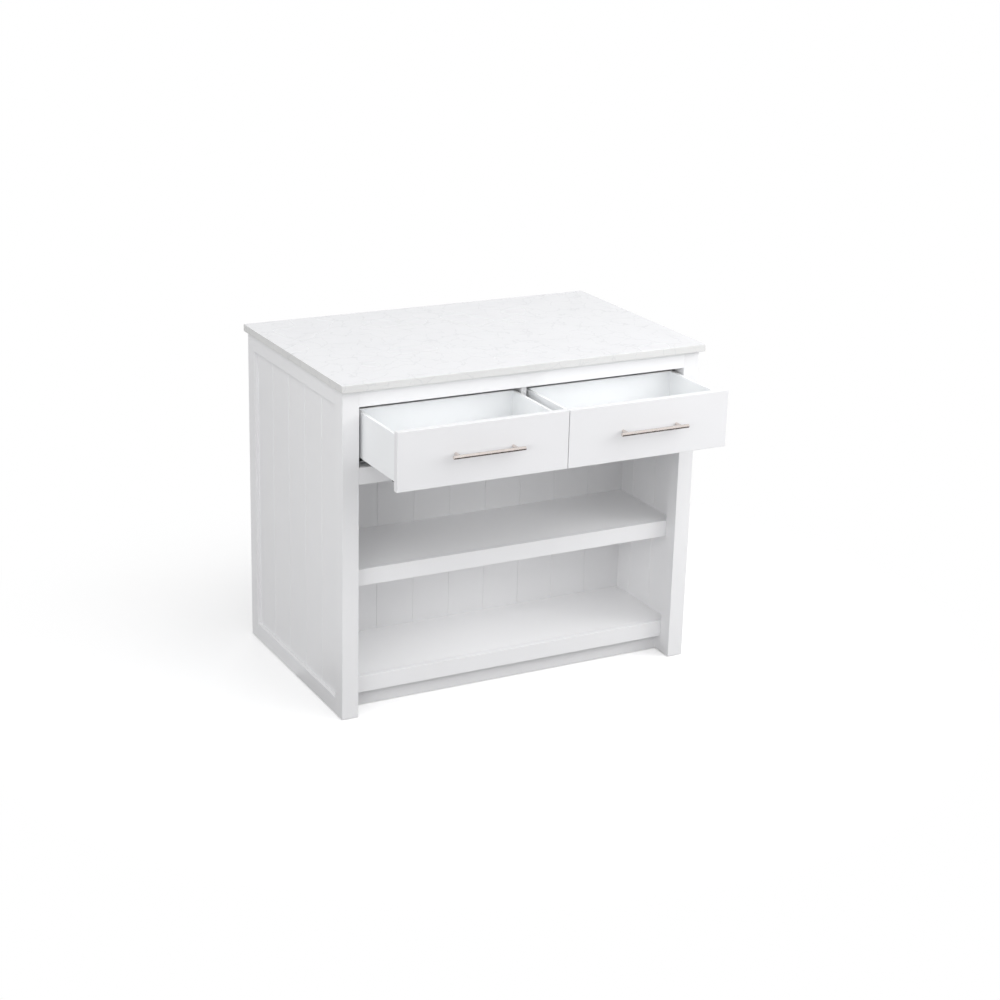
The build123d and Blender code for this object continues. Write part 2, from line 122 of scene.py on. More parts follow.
# %% [markdown]
# ## Building node trees
#
# Materials and shape-making trees are both graphs of nodes. One helper adds a node, sets
# its options, and fills its inputs: a plain value is written into the socket, and another
# node's output is linked to it. A small class lets sums of sockets be written with + and *,
# where each sign adds one maths node.


# %% Helpers that add nodes
def add(tree, kind, inputs=None, **options):
    """Add a node. An input is a value, a socket, or a list of sockets for a joined input."""
    made = tree.nodes.new(kind)
    for name, value in options.items():
        setattr(made, name, value)
    for key, given in (inputs or {}).items():
        for value in given if isinstance(given, list) else [given]:
            source = getattr(value, "socket", value)
            if isinstance(source, bpy.types.NodeSocket):
                tree.links.new(source, made.inputs[key])
            else:
                made.inputs[key].default_value = source
    return made


class Field:
    """A socket that takes part in sums, so a rule reads as it is written."""

    def __init__(self, tree, socket):
        self.tree = tree
        self.socket = socket

    def do(self, operation, *others):
        values = dict(enumerate((self, *others)))
        node = add(self.tree, "ShaderNodeMath", values, operation=operation)
        return Field(self.tree, node.outputs[0])

    def __add__(self, other):
        return self.do("ADD", other)

    def __sub__(self, other):
        return self.do("SUBTRACT", other)

    def __mul__(self, other):
        return self.do("MULTIPLY", other)

    def __truediv__(self, other):
        return self.do("DIVIDE", other)


# %% [markdown]
# ## The studio
#
# The unit stands on a pale sweep of paper. To the camera, and in mirror-like
# reflections, the paper is white: near the unit it is lit and keeps the soft shadow, and
# further off, past the reach of the lamps, it glows by itself. To every other ray it is
# an ordinary pale surface, so it does not flood the underside with light. The world does
# the same: white to look at, and a low ambient glow as light.


# %% Floor and world
PAPER_HALF_WIDTH = 60
PAPER_DROP = 0.0002
PAPER_BOUNCE = (0.50, 0.50, 0.505, 1)
PAPER_SEEN = (0.92, 0.92, 0.92, 1)
PAPER_GLOW = 0.25
LIT_RADIUS = 0.6              # the paper is lit within this distance of the unit
GLOW_RADIUS = 1.5             # and glows evenly beyond this one
WORLD_LIGHT = (0.300, 0.301, 0.305, 1)
WHITE = (1, 1, 1, 1)


def seen_directly(tree):
    """1 for rays from the camera, mirror reflections and rays through glass."""
    path = add(tree, "ShaderNodeLightPath").outputs
    mirrored = Field(tree, path["Is Glossy Ray"]).do("MAXIMUM", path["Is Transmission Ray"])
    return mirrored.do("MAXIMUM", path["Is Camera Ray"])


def far_from_unit(tree):
    """0 on the paper beside the unit and 1 far away."""
    place = add(tree, "ShaderNodeTexCoord").outputs["Object"]
    away = add(tree, "ShaderNodeVectorMath", {0: place, 1: (0, CARCASS_Y, 0)}, operation="DISTANCE")
    inputs = {0: away.outputs["Value"], 1: LIT_RADIUS, 2: GLOW_RADIUS}
    return add(tree, "ShaderNodeMapRange", inputs, interpolation_type="SMOOTHSTEP").outputs[0]


def bare_material(name):
    """A material with an output and no shader yet."""
    material = bpy.data.materials.new(name)
    material.use_nodes = True
    tree = material.node_tree
    tree.nodes.remove(tree.nodes["Principled BSDF"])
    return material, tree


def paper():
    material, tree = bare_material("paper_sweep")
    plain = add(tree, "ShaderNodeBsdfDiffuse", {"Color": PAPER_BOUNCE})
    bright = add(tree, "ShaderNodeBsdfDiffuse", {"Color": PAPER_SEEN})
    glow = add(tree, "ShaderNodeEmission", {"Color": WHITE, "Strength": PAPER_GLOW})
    lifted = add(tree, "ShaderNodeAddShader", {0: bright.outputs[0], 1: glow.outputs[0]})
    white = add(tree, "ShaderNodeEmission", {"Color": WHITE})
    to_see = add(tree, "ShaderNodeMixShader", {
        0: far_from_unit(tree), 1: lifted.outputs[0], 2: white.outputs[0],
    })
    shown = add(tree, "ShaderNodeMixShader", {
        0: seen_directly(tree), 1: plain.outputs[0], 2: to_see.outputs[0],
    })
    tree.links.new(shown.outputs[0], tree.nodes["Material Output"].inputs["Surface"])
    return material


def level_sheet(name, half_width, front, back, height, material):
    """A level rectangle that belongs to the studio and not to the unit."""
    corners = [(-half_width, front), (half_width, front), (half_width, back), (-half_width, back)]
    mesh = bpy.data.meshes.new(name)
    mesh.from_pydata([(x, y, height) for x, y in corners], [], [(0, 1, 2, 3)])
    mesh.materials.append(material)
    sheet = bpy.data.objects.new(name, mesh)
    bpy.context.scene.collection.objects.link(sheet)
    return sheet


def studio_world():
    world = bpy.data.worlds.new("studio")
    world.use_nodes = True
    tree = world.node_tree
    ambient = tree.nodes["Background"]
    ambient.inputs["Color"].default_value = WORLD_LIGHT
    white = add(tree, "ShaderNodeBackground", {"Color": WHITE})
    shown = add(tree, "ShaderNodeMixShader", {
        0: seen_directly(tree), 1: ambient.outputs[0], 2: white.outputs[0],
    })
    tree.links.new(shown.outputs[0], tree.nodes["World Output"].inputs["Surface"])
    bpy.context.scene.world = world


level_sheet("floor", PAPER_HALF_WIDTH, -PAPER_HALF_WIDTH, PAPER_HALF_WIDTH, -PAPER_DROP, paper())
studio_world()
bpy.context.scene.view_settings.view_transform = "Standard"
print("paper sweep", 2 * PAPER_HALF_WIDTH, "m wide")

# %% [markdown]
# ## The lamps
#
# Large soft panels give a white object its form without hard shadows. Three keys stand to
# the right of the front, high, level and low, so the drawer fronts and the right of the
# unit are brightest and the shade gathers in the shelf bays. A high panel on the left of
# the front softens their shade, a low one reaches in under the drawers, a third lights the
# left end, one overhead lights the worktop, and one behind looks into the knee space. The
# panels are hidden from the camera, so a view from behind does not show them, and from
# reflections, because the handles would mirror them as one white glare. A round bar needs
# a dark band below its bright one instead: a dark card lies low in front of the unit, seen
# only in reflections, as a painted reflection of the shaded floor. The bar mirrors the white
# room above and the card below, and those two bands make it look round. The lower bay is
# deep in shade, so a small faint panel is tucked up under the middle shelf, facing down.

# %% Softboxes
LAMPS = {
    # name: (azimuth, elevation, distance, width, height, watts)
    "key_high": (25, 45, 3.5, 2.5, 2.5, 28),
    "key_side": (60, 25, 3.5, 2.0, 2.0, 44),
    "key_low": (30, 15, 3.5, 2.5, 1.5, 12),
    "left_front": (-25, 40, 6.0, 3.0, 3.0, 36),
    "left_low": (-50, 15, 5.0, 2.5, 1.5, 56),
    "left_high": (-85, 45, 4.0, 2.0, 2.0, 32),
    "top": (60, 75, 3.2, 2.4, 2.0, 23),
    "behind": (160, 15, 5.0, 2.5, 2.0, 45),
}
LAMP_AIM = Vector((0, CARCASS_Y, UNIT_HEIGHT / 2))


def panel(name, place, width, height, watts):
    """A soft panel that shines along its own -Z."""
    light = bpy.data.lights.new(name + "_softbox", "AREA")
    light.shape = "RECTANGLE"
    light.size = width
    light.size_y = height
    light.energy = watts
    lamp = bpy.data.objects.new(name + "_softbox", light)
    lamp.matrix_world = place
    lamp.visible_camera = lamp.visible_glossy = False
    bpy.context.scene.collection.objects.link(lamp)


def softbox(name, azimuth, elevation, distance, width, height, watts):
    """A panel on a stand, aimed at the middle of the unit."""
    turn = Euler((math.radians(90 - elevation), 0, math.radians(azimuth))).to_matrix()
    place = Matrix.Translation(LAMP_AIM + distance * turn.col[2]) @ turn.to_4x4()
    panel(name, place, width, height, watts)


for name, settings in LAMPS.items():
    softbox(name, *settings)
print("softboxes:", ", ".join(LAMPS))

# %% Panel under the middle shelf
BAY_PANEL_GAP = 4 * MILLIMETRE
BAY_PANEL_WIDTH = 0.85
BAY_PANEL_DEPTH = 0.20
BAY_PANEL_WATTS = 0.13
shelf_low, shelf_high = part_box("middle_shelf")
bay_place = (shelf_low + shelf_high) / 2
bay_place.z = shelf_low.z - BAY_PANEL_GAP
panel("lower_bay", Matrix.Translation(bay_place),
      BAY_PANEL_WIDTH, BAY_PANEL_DEPTH, BAY_PANEL_WATTS)
print("bay panel, z =", round(bay_place.z, 3))

# %% Dark card seen only in reflections: a painted reflection of shade
# painted reflection: a dark tone seen only in reflections, in place of the shaded floor
REFLECTED_SHADE_TONE = (0.075, 0.062, 0.056, 1)
FLAG_HALF_WIDTH = 1.6
FLAG_REACH = 2.4              # in front of the carcass
FLAG_LIFT = 0.001


def flag():
    material, tree = bare_material("painted_reflection_shade")
    tone = add(tree, "ShaderNodeEmission", {"Color": REFLECTED_SHADE_TONE})
    tree.links.new(tone.outputs[0], tree.nodes["Material Output"].inputs["Surface"])
    front = POST_LOW.y - FLAG_REACH
    card = level_sheet("flag", FLAG_HALF_WIDTH, front, CARCASS_Y, FLAG_LIFT, material)
    card.visible_camera = card.visible_diffuse = False
    card.visible_shadow = card.visible_transmission = False


flag()
print("flag", FLAG_REACH, "m long")

# %% [markdown]
# ## Texture helpers
#
# Every pattern below is read in the model's own metres, so a scale of 100 means waves
# one centimetre long. The helpers return sockets, ready to plug into the next node.


# %% Noise, blends, ranges and bumps
def object_metres(tree, stretch=(1, 1, 1)):
    """The model's own coordinates, squeezed along an axis where a pattern runs."""
    place = add(tree, "ShaderNodeTexCoord").outputs["Object"]
    return add(tree, "ShaderNodeMapping", {"Vector": place, "Scale": stretch}).outputs[0]


def noise(tree, place, scale, detail=2.0):
    inputs = {"Vector": place, "Scale": scale, "Detail": detail}
    return add(tree, "ShaderNodeTexNoise", inputs).outputs[0]


SOFT = (0.3, 0.7)             # most of a noise's values lie between these


def spread(tree, value, low, high, new_low=0.0, new_high=1.0):
    """Stretch the part of a value between low and high over a new range, and stop there."""
    inputs = {0: value, 1: low, 2: high, 3: new_low, 4: new_high}
    return add(tree, "ShaderNodeMapRange", inputs, interpolation_type="SMOOTHSTEP").outputs[0]


def blend(tree, share, first, second):
    """A colour between two others."""
    made = add(tree, "ShaderNodeMix", {0: share, 6: first, 7: second}, data_type="RGBA")
    return made.outputs[2]


def bump(tree, height, depth, below=None):
    """Raise the surface by up to depth, on top of another bump."""
    inputs = {"Height": height, "Distance": depth, "Strength": 1.0}
    if below is not None:
        inputs["Normal"] = below
    return add(tree, "ShaderNodeBump", inputs).outputs[0]


def finish(name, tint, roughness, metallic=0.0, specular=0.5):
    """A new material with its shader's constants set. Returns the material and its tree."""
    material = bpy.data.materials.new(name)
    material.use_nodes = True
    shader = material.node_tree.nodes["Principled BSDF"]
    shader.inputs["Base Color"].default_value = (*tint, 1)
    shader.inputs["Roughness"].default_value = roughness
    shader.inputs["Metallic"].default_value = metallic
    shader.inputs["Specular IOR Level"].default_value = specular
    return material, material.node_tree


def wire(tree, **sockets):
    """Link sockets to the shader's Base_Color, Roughness and Normal."""
    shader = tree.nodes["Principled BSDF"]
    for name, value in sockets.items():
        tree.links.new(getattr(value, "socket", value), shader.inputs[name.replace("_", " ")])


# %% [markdown]
# ## Sprayed paint
#
# Satin lacquer on wood is nearly flat, but not quite. Light shows a slow swell where the
# board was sanded, a fine orange peel from the spray gun, and patches that dried a touch
# duller. The drawer boxes are coated in a cooler, smoother white than the frame. The drawer
# fronts take a darker copy of the frame's paint, which is painted shade, and the rails and
# shelf boards take a lighter one, which is painted light.

# %% Paint
PEEL_WAVES = 700              # per metre
PEEL_DEPTH = 0.00002
SWELL_WAVES = 14
SWELL_DEPTH = 0.0004
TONE_WAVES = 3.0
DARKER_SHARE = 0.985          # of the tint, where the coat is thinnest
PATCH_WAVES = 30
PATCH_DULLNESS = 0.05         # added to or taken from the roughness


def paint(name, tint, roughness, peel=1.0):
    material, tree = finish(name, tint, roughness, specular=0.4)
    place = object_metres(tree)
    tone = spread(tree, noise(tree, place, TONE_WAVES), *SOFT)
    shade = [DARKER_SHARE * value for value in tint]
    colour = blend(tree, tone, (*shade, 1), (*tint, 1))
    dull = (roughness - PATCH_DULLNESS, roughness + PATCH_DULLNESS)
    patches = spread(tree, noise(tree, place, PATCH_WAVES, 4), *SOFT, *dull)
    swell = bump(tree, noise(tree, place, SWELL_WAVES), SWELL_DEPTH)
    skin = bump(tree, noise(tree, place, PEEL_WAVES, 1), peel * PEEL_DEPTH, swell)
    wire(tree, Base_Color=colour, Roughness=patches, Normal=skin)
    return material


painted_wood = paint("painted_wood_satin", (0.872, 0.872, 0.880), 0.42)
# painted shade and painted light: darker and lighter copies of the frame's paint, for the drawer
# fronts, the rails and the shelf boards
front_shaded_paint = paint("drawer_front_satin", (0.835, 0.835, 0.847), 0.40)
rail_lit_paint = paint("rail_satin_painted_light", (0.905, 0.905, 0.913), 0.42)
shelf_lit_paint = paint("shelf_board_satin_painted_light", (0.945, 0.945, 0.950), 0.44)
drawer_white = paint("drawer_box_white", (0.930, 0.943, 0.952), 0.36, peel=0.5)
PAINTS = (painted_wood, front_shaded_paint, rail_lit_paint, shelf_lit_paint, drawer_white)
print("paints:", ", ".join(coat.name for coat in PAINTS))

# %% [markdown]
# ## Engineered stone
#
# The worktop is white quartz bound in resin. Up close it is a fine sugar of grains. From
# further off, hair-thin grey veins wander in a loose net and keep breaking off, and faint
# clouds lie between them. A Voronoi texture's distance to its cell walls draws the net,
# noise bends the walls first, and a second noise decides where a vein shows at all. The
# top is polished and the sawn edges are honed, so the edges are duller. The edges are also
# coloured darker than the top, which is painted shade; the surface's own upward direction,
# with the bump left out, tells them apart.

# %% Quartz
STONE_TOP = (0.778, 0.782, 0.797)
# painted shade: the edges' colour, darker than the top's
STONE_EDGE_PAINTED_SHADE = (0.725, 0.724, 0.715)
VEIN_TINT = (0.46, 0.47, 0.49)
VEIN_CELLS = 16               # per metre
VEIN_WANDER = 0.85            # of a cell
VEIN_WIDTH = 0.040            # of a cell, on each side of the wall
VEIN_SHARE = 0.24             # of the vein's own grey, at its middle
FINE_SHARE = 0.40             # the fine net's grey against the broad one's
FINE_CELLS = 2.7              # the fine net's cells against the broad one's
FINE_WIDTH = 1.5
BROAD_FROM = 0.40             # the noise above which a broad vein shows
FINE_FROM = 0.48
VEIN_FADE = 0.10              # and over how much more of it the vein fades in
CLOUD_WAVES = 11
GRAIN_WAVES = 1400
POLISH_WAVES = 5
EDGE_DULLNESS = 0.2


def veins(tree, place, cells, width, show_from):
    """A broken net of veins: 1 on a vein, 0 beside it."""
    inputs = {"Vector": place, "Scale": 1.5 * cells, "Detail": 4.0}
    bend = add(tree, "ShaderNodeTexNoise", inputs)
    centred = add(tree, "ShaderNodeVectorMath", {0: bend.outputs["Color"], 1: (0.5, 0.5, 0.5)},
                  operation="SUBTRACT").outputs[0]
    pushed = add(tree, "ShaderNodeVectorMath", {0: centred, "Scale": VEIN_WANDER / cells},
                 operation="SCALE").outputs[0]
    wandering = add(tree, "ShaderNodeVectorMath", {0: place, 1: pushed},
                    operation="ADD").outputs[0]
    walls = add(tree, "ShaderNodeTexVoronoi", {"Vector": wandering, "Scale": cells},
                feature="DISTANCE_TO_EDGE").outputs["Distance"]
    line = spread(tree, walls, 0.0, width, 1.0, 0.0)
    kept = spread(tree, noise(tree, place, 1.1 * cells, 3), show_from, show_from + VEIN_FADE)
    return Field(tree, line) * kept


def upward(tree):
    """1 on the polished top and 0 on the edges."""
    facing = add(tree, "ShaderNodeNewGeometry").outputs["True Normal"]
    return spread(tree, add(tree, "ShaderNodeSeparateXYZ", {0: facing}).outputs[2], 0.5, 0.9)


def quartz():
    material, tree = finish("quartz_white", STONE_TOP, 0.26, specular=0.5)
    place = object_metres(tree)
    broad = veins(tree, place, VEIN_CELLS, VEIN_WIDTH, BROAD_FROM)
    fine = veins(tree, place, FINE_CELLS * VEIN_CELLS, FINE_WIDTH * VEIN_WIDTH, FINE_FROM)
    net = broad.do("MAXIMUM", fine * FINE_SHARE)
    clouds = spread(tree, noise(tree, place, CLOUD_WAVES, 2), 0.40, 0.75, 0.0, 0.05)
    grains = spread(tree, noise(tree, place, GRAIN_WAVES, 0), 0.35, 0.65, 0.0, 0.008)
    share = net * VEIN_SHARE + clouds + grains
    top = upward(tree)
    # painted shade: the edges take a darker colour than the top, by which way the surface faces
    body = blend(tree, top, (*STONE_EDGE_PAINTED_SHADE, 1), (*STONE_TOP, 1))
    colour = blend(tree, share, body, (*VEIN_TINT, 1))
    polish = spread(tree, noise(tree, place, POLISH_WAVES, 1), *SOFT, 0.22, 0.28)
    gloss = Field(tree, polish) + (Field(tree, 1) - top) * EDGE_DULLNESS
    wire(tree, Base_Color=colour, Roughness=gloss)
    return material


stone = quartz()
print("stone:", stone.name)

# %% [markdown]
# ## Brushed nickel and zinc plate
#
# The bar handles are brushed along their length. Brushing leaves fine grooves that run
# with the bar, so the noise is squeezed across the bar and drawn out along it. It moves
# the roughness a little and raises hair-fine ridges, which smear a highlight across the
# bar and keep it sharp along it. The metal is a warm grey, a touch darker where fingers
# have dulled it. The slides and screws are steel with a bright zinc plate: faint crystal
# clouds from the bath, over lines that the rollers drew along the strip.

# %% Metals
NICKEL_TINT = (0.800, 0.737, 0.700)
NICKEL_WORN = (0.690, 0.628, 0.590)
BRUSH_STRETCH = (0.02, 1, 1)  # few waves along the bar, many across it
BRUSH_WAVES = 2600
BRUSH_DEPTH = 0.000006
HAIR_WAVES = 9000
HAIR_DEPTH = 0.000004
WEAR_WAVES = 55
ZINC_TINT = (0.66, 0.67, 0.68)
ZINC_BRIGHT = (0.70, 0.71, 0.72)
ZINC_DULL = (0.58, 0.59, 0.61)
ROLLED_STRETCH = (1, 0.02, 1)  # the strip was rolled along the slide
ROLLED_WAVES = 1800
CRYSTALS = 180.0              # per metre
BATH_WAVES = 40


def brushed_nickel():
    material, tree = finish("brushed_nickel_satin", NICKEL_TINT, 0.24, metallic=1.0)
    place = object_metres(tree, BRUSH_STRETCH)
    lines = noise(tree, place, BRUSH_WAVES, 3)
    fine = noise(tree, place, HAIR_WAVES, 2)
    worn = spread(tree, noise(tree, object_metres(tree), WEAR_WAVES, 3), 0.4, 0.7)
    streaks = spread(tree, lines, 0.35, 0.65, 0.0, 0.5)
    share = Field(tree, worn) * 0.5 + streaks
    colour = blend(tree, share, (*NICKEL_TINT, 1), (*NICKEL_WORN, 1))
    gloss = spread(tree, lines, *SOFT, 0.19, 0.29)
    ridges = bump(tree, fine, HAIR_DEPTH, bump(tree, lines, BRUSH_DEPTH))
    wire(tree, Base_Color=colour, Roughness=gloss, Normal=ridges)
    return material


def zinc_plate():
    """Bright zinc over rolled steel."""
    material, tree = finish("zinc_plate", ZINC_TINT, 0.36, metallic=1.0)
    place = object_metres(tree)
    crystals = add(tree, "ShaderNodeTexVoronoi", {"Vector": place, "Scale": CRYSTALS})
    cloud = spread(tree, noise(tree, place, BATH_WAVES, 4), 0.35, 0.65)
    drawn = noise(tree, object_metres(tree, ROLLED_STRETCH), ROLLED_WAVES, 2)
    grain = add(tree, "ShaderNodeSeparateColor", {0: crystals.outputs["Color"]}).outputs[0]
    share = Field(tree, cloud) * 0.6 + Field(tree, grain) * 0.25
    colour = blend(tree, share, (*ZINC_BRIGHT, 1), (*ZINC_DULL, 1))
    gloss = Field(tree, spread(tree, drawn, *SOFT, 0.28, 0.40)) + Field(tree, cloud) * 0.06
    wire(tree, Base_Color=colour, Roughness=gloss, Normal=bump(tree, drawn, BRUSH_DEPTH))
    return material


nickel = brushed_nickel()
zinc = zinc_plate()
print("metals:", nickel.name, zinc.name)

# %% [markdown]
# ## Moulded plastic and raw beech
#
# Moulded plastic has the matt grain of its mould: shallow pits half a millimetre apart.
# One function serves the black clips, the milky carriages and the grey glides. The corner
# braces and dowels are unpainted beech: long fibres, with the short dark flecks that tell
# beech from other pale woods.

# %% Plastics
MOULD_GRAIN = 2200            # pits per metre
MOULD_DEPTH = 0.00003
PALER_SHARE = 1.12            # of the tint, where the plastic is palest


def moulded(name, tint, roughness):
    material, tree = finish(name, tint, roughness, specular=0.45)
    place = object_metres(tree)
    pits = noise(tree, place, MOULD_GRAIN, 2)
    tone = spread(tree, noise(tree, place, 70, 2), *SOFT)
    pale = [min(1.0, PALER_SHARE * value) for value in tint]
    colour = blend(tree, tone, (*tint, 1), (*pale, 1))
    gloss = spread(tree, pits, *SOFT, roughness - 0.06, roughness + 0.08)
    wire(tree, Base_Color=colour, Roughness=gloss, Normal=bump(tree, pits, MOULD_DEPTH))
    return material


black = moulded("clip_black", (0.030, 0.030, 0.032), 0.48)
milky = moulded("carriage_white", (0.78, 0.78, 0.75), 0.42)
grey = moulded("glide_grey", (0.24, 0.24, 0.25), 0.55)
print("plastics:", black.name, milky.name, grey.name)

# %% Beech
BEECH_LIGHT = (0.74, 0.58, 0.41)
BEECH_DARK = (0.62, 0.45, 0.29)
FLECK_TINT = (0.45, 0.29, 0.17)
FIBRE_DEPTH = 0.00006
# name: (how far the pattern is drawn out along the wood, waves per metre, detail)
FIBRES = (0.05, 420, 4)
GROWTH = (0.12, 34, 3)
FLECKS = (0.25, 900, 1)


def along_wood(tree, share, waves, detail):
    """Noise drawn out along the wood."""
    return noise(tree, object_metres(tree, (share, 1, 1)), waves, detail)


def raw_beech():
    material, tree = finish("beech_raw", BEECH_LIGHT, 0.62, specular=0.3)
    fibres = along_wood(tree, *FIBRES)
    growth = along_wood(tree, *GROWTH)
    spots = along_wood(tree, *FLECKS)
    wood = blend(tree, spread(tree, growth, 0.35, 0.65), (*BEECH_LIGHT, 1), (*BEECH_DARK, 1))
    streaked = blend(tree, spread(tree, fibres, 0.45, 0.7, 0.0, 0.5), wood, (*BEECH_DARK, 1))
    flecked = blend(tree, spread(tree, spots, 0.64, 0.72, 0.0, 0.7), streaked, (*FLECK_TINT, 1))
    gloss = spread(tree, fibres, *SOFT, 0.55, 0.70)
    wire(tree, Base_Color=flecked, Roughness=gloss, Normal=bump(tree, fibres, FIBRE_DEPTH))
    return material


beech = raw_beech()
print("wood:", beech.name)

# %% Give each piece its finish
FINISHES = {
    "stone_top": stone,
    "painted_wood": painted_wood,
    "drawer_white": drawer_white,
    "beech": beech,
    "zinc_steel": zinc,
    "brushed_nickel": nickel,
    "black_plastic": black,
    "carriage_plastic": milky,
    "glide_plastic": grey,
}
# painted light and shade: the lighter and darker copies of the frame's paint go on these pieces
PAINTED_LIGHT_AND_SHADE_COATS = {
    front_shaded_paint: ("left_drawer_front", "right_drawer_front"),
    rail_lit_paint: ("front_top_rail", "middle_shelf_rail", "bottom_shelf_rail"),
    shelf_lit_paint: ("middle_shelf", "bottom_shelf", "dust_panel"),
}
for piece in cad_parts.values():
    for slot in piece.material_slots:
        slot.material = FINISHES[slot.material.name]
for coat, nodes in PAINTED_LIGHT_AND_SHADE_COATS.items():
    for node in nodes:
        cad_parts[node].material_slots[0].material = coat
print("finishes:", len(FINISHES) + len(PAINTED_LIGHT_AND_SHADE_COATS))

# %% [markdown]
# ## Shapes that grow from rules
#
# A beaded board, a row of screws or a rolled steel section is a rule more than a drawing,
# and Geometry Nodes hold rules well. Each tree below names its sizes as inputs, makes the
# shape, turns instances into real faces and gives them their finish. A tree runs once: its
# result is kept as a plain mesh, and the modifier goes.


# %% Open, close and run a shape tree
CREASE = math.radians(30)


def shape_tree(name, inputs):
    """A geometry tree with these named inputs, and its input sockets by name."""
    tree = bpy.data.node_groups.new(name, "GeometryNodeTree")
    tree.is_modifier = True
    tree.interface.new_socket("Result", in_out="OUTPUT", socket_type="NodeSocketGeometry")
    for title, kind in {"Seed": "Geometry", **inputs, "Finish": "Material"}.items():
        tree.interface.new_socket(title, in_out="INPUT", socket_type="NodeSocket" + kind)
    sockets = add(tree, "NodeGroupInput").outputs
    return tree, {socket.name: Field(tree, socket) for socket in sockets if socket.name}


def close_tree(tree, shape, coat):
    """Real faces, smooth up to a crease, with one finish."""
    real = add(tree, "GeometryNodeRealizeInstances", {0: shape}).outputs[0]
    angle = Field(tree, add(tree, "GeometryNodeInputMeshEdgeAngle").outputs[0])
    soft = add(tree, "GeometryNodeSetShadeSmooth", {0: real, 2: True}).outputs[0]
    creased = {0: soft, 1: angle.do("GREATER_THAN", CREASE), 2: False}
    sharp = add(tree, "GeometryNodeSetShadeSmooth", creased, domain="EDGE").outputs[0]
    coated = add(tree, "GeometryNodeSetMaterial", {0: sharp, "Material": coat}).outputs[0]
    add(tree, "NodeGroupOutput", {0: coated})
    return tree


def grow(name, tree, sizes, seed=None):
    """Run a tree once on a seed mesh, and keep what comes out as a plain mesh."""
    piece = bpy.data.objects.new(name, seed or bpy.data.meshes.new(name))
    bpy.context.scene.collection.objects.link(piece)
    modifier = piece.modifiers.new("shape", "NODES")
    modifier.node_group = tree
    for socket in tree.interface.items_tree:
        if socket.in_out == "INPUT" and socket.name in sizes:
            modifier[socket.identifier] = sizes[socket.name]
    view = bpy.context.evaluated_depsgraph_get()
    grown = bpy.data.meshes.new_from_object(
        piece.evaluated_get(view), preserve_all_data_layers=True, depsgraph=view
    )
    piece.modifiers.clear()
    piece.data = grown
    return piece


def stand_in(piece, body, slot, *nodes):
    """The piece rides on a body and takes the place of the measured model's own pieces."""
    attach(piece, body)
    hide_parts(*nodes)
    print(f"{piece.name}: {len(piece.data.polygons)} faces for {', '.join(nodes)}")


def three(tree, x, y, z):
    """A vector from three numbers or sockets."""
    return add(tree, "ShaderNodeCombineXYZ", {0: x, 1: y, 2: z}).outputs[0]


def moved(tree, shape, place, turn=(0, 0, 0)):
    inputs = {0: shape, "Translation": place, "Rotation": turn}
    return add(tree, "GeometryNodeTransform", inputs).outputs[0]


def cube(tree, size):
    return add(tree, "GeometryNodeMeshCube", {"Size": size}).outputs[0]


def joined(tree, shapes):
    return add(tree, "GeometryNodeJoinGeometry", {0: shapes}).outputs[0]


def cut_away(tree, shape, cutters):
    """What is left of a shape when the cutters are taken out of it."""
    return add(tree, "GeometryNodeMeshBoolean", {0: shape, 1: cutters},
               operation="DIFFERENCE", solver="EXACT").outputs[0]


def copied(tree, points, shape, turn=(0, 0, 0)):
    """A copy of the shape on every point."""
    inputs = {"Points": points, "Instance": shape, "Rotation": turn}
    return add(tree, "GeometryNodeInstanceOnPoints", inputs).outputs[0]


def real_faces(tree, copies):
    return add(tree, "GeometryNodeRealizeInstances", {0: copies}).outputs[0]


# %% [markdown]
# ## Beaded boards
#
# The end panels and the partition are sheets with upright V grooves routed into both
# faces, so that they look like a row of narrow boards. A groove is shaped only across
# the sheet, so the mesh needs columns just where a groove bends. The tree starts from a
# box with a few columns per groove and tells each column where to stand: its number says
# which groove it belongs to and how far across the groove it is. A smooth step rounds the
# shoulders and the foot of each groove, as paint does. The outermost columns of a groove
# lie on the flat beside it, so that smooth shading stays inside the groove.

# %% Beadboard tree
GROOVE_COLUMNS = 11
SHOULDER = 0.8                # where a groove begins, from its middle to its last column
GROOVE_WIDTH = 3 * MILLIMETRE
GROOVE_DEPTH = 1.5 * MILLIMETRE
GROOVE_PITCH = 111 * MILLIMETRE
OUTERMOST = 0.999             # beyond this share of the half width stands the sheet's edge


def column_places(tree, size, columns):
    """How far along, and how deep in a groove, each column of the box stands."""
    position = add(tree, "GeometryNodeInputPosition").outputs[0]
    where = add(tree, "ShaderNodeSeparateXYZ", {0: position})
    across = Field(tree, where.outputs[0])
    column = ((across * 0.5 + 0.5) * (columns - 1)).do("ROUND")
    groove = ((column - 1) / GROOVE_COLUMNS).do("FLOOR")
    step = (column - 1) - groove * GROOVE_COLUMNS
    over = step / ((GROOVE_COLUMNS - 1) / 2) - 1
    centre = (groove - (size["Grooves"] - 1) * 0.5) * size["Pitch"]
    in_groove = centre + over * size["Groove Width"] * (0.5 / SHOULDER)
    at_edge = across.do("ABSOLUTE").do("GREATER_THAN", OUTERMOST)
    along = in_groove + at_edge * (across * size["Half Width"] - in_groove)
    fall = Field(tree, spread(tree, over.do("ABSOLUTE"), 0.0, SHOULDER, 1.0, 0.0))
    depth = fall * size["Groove Depth"]
    face = Field(tree, where.outputs[1]).do("SIGN")
    height = add(tree, "ShaderNodeMapRange", {
        0: where.outputs[2], 1: -0.5, 2: 0.5, 3: size["Bottom"], 4: size["Top"],
    }).outputs[0]
    inset = depth - at_edge * depth
    return three(tree, along, face * (size["Thickness"] * 0.5 - inset), height)


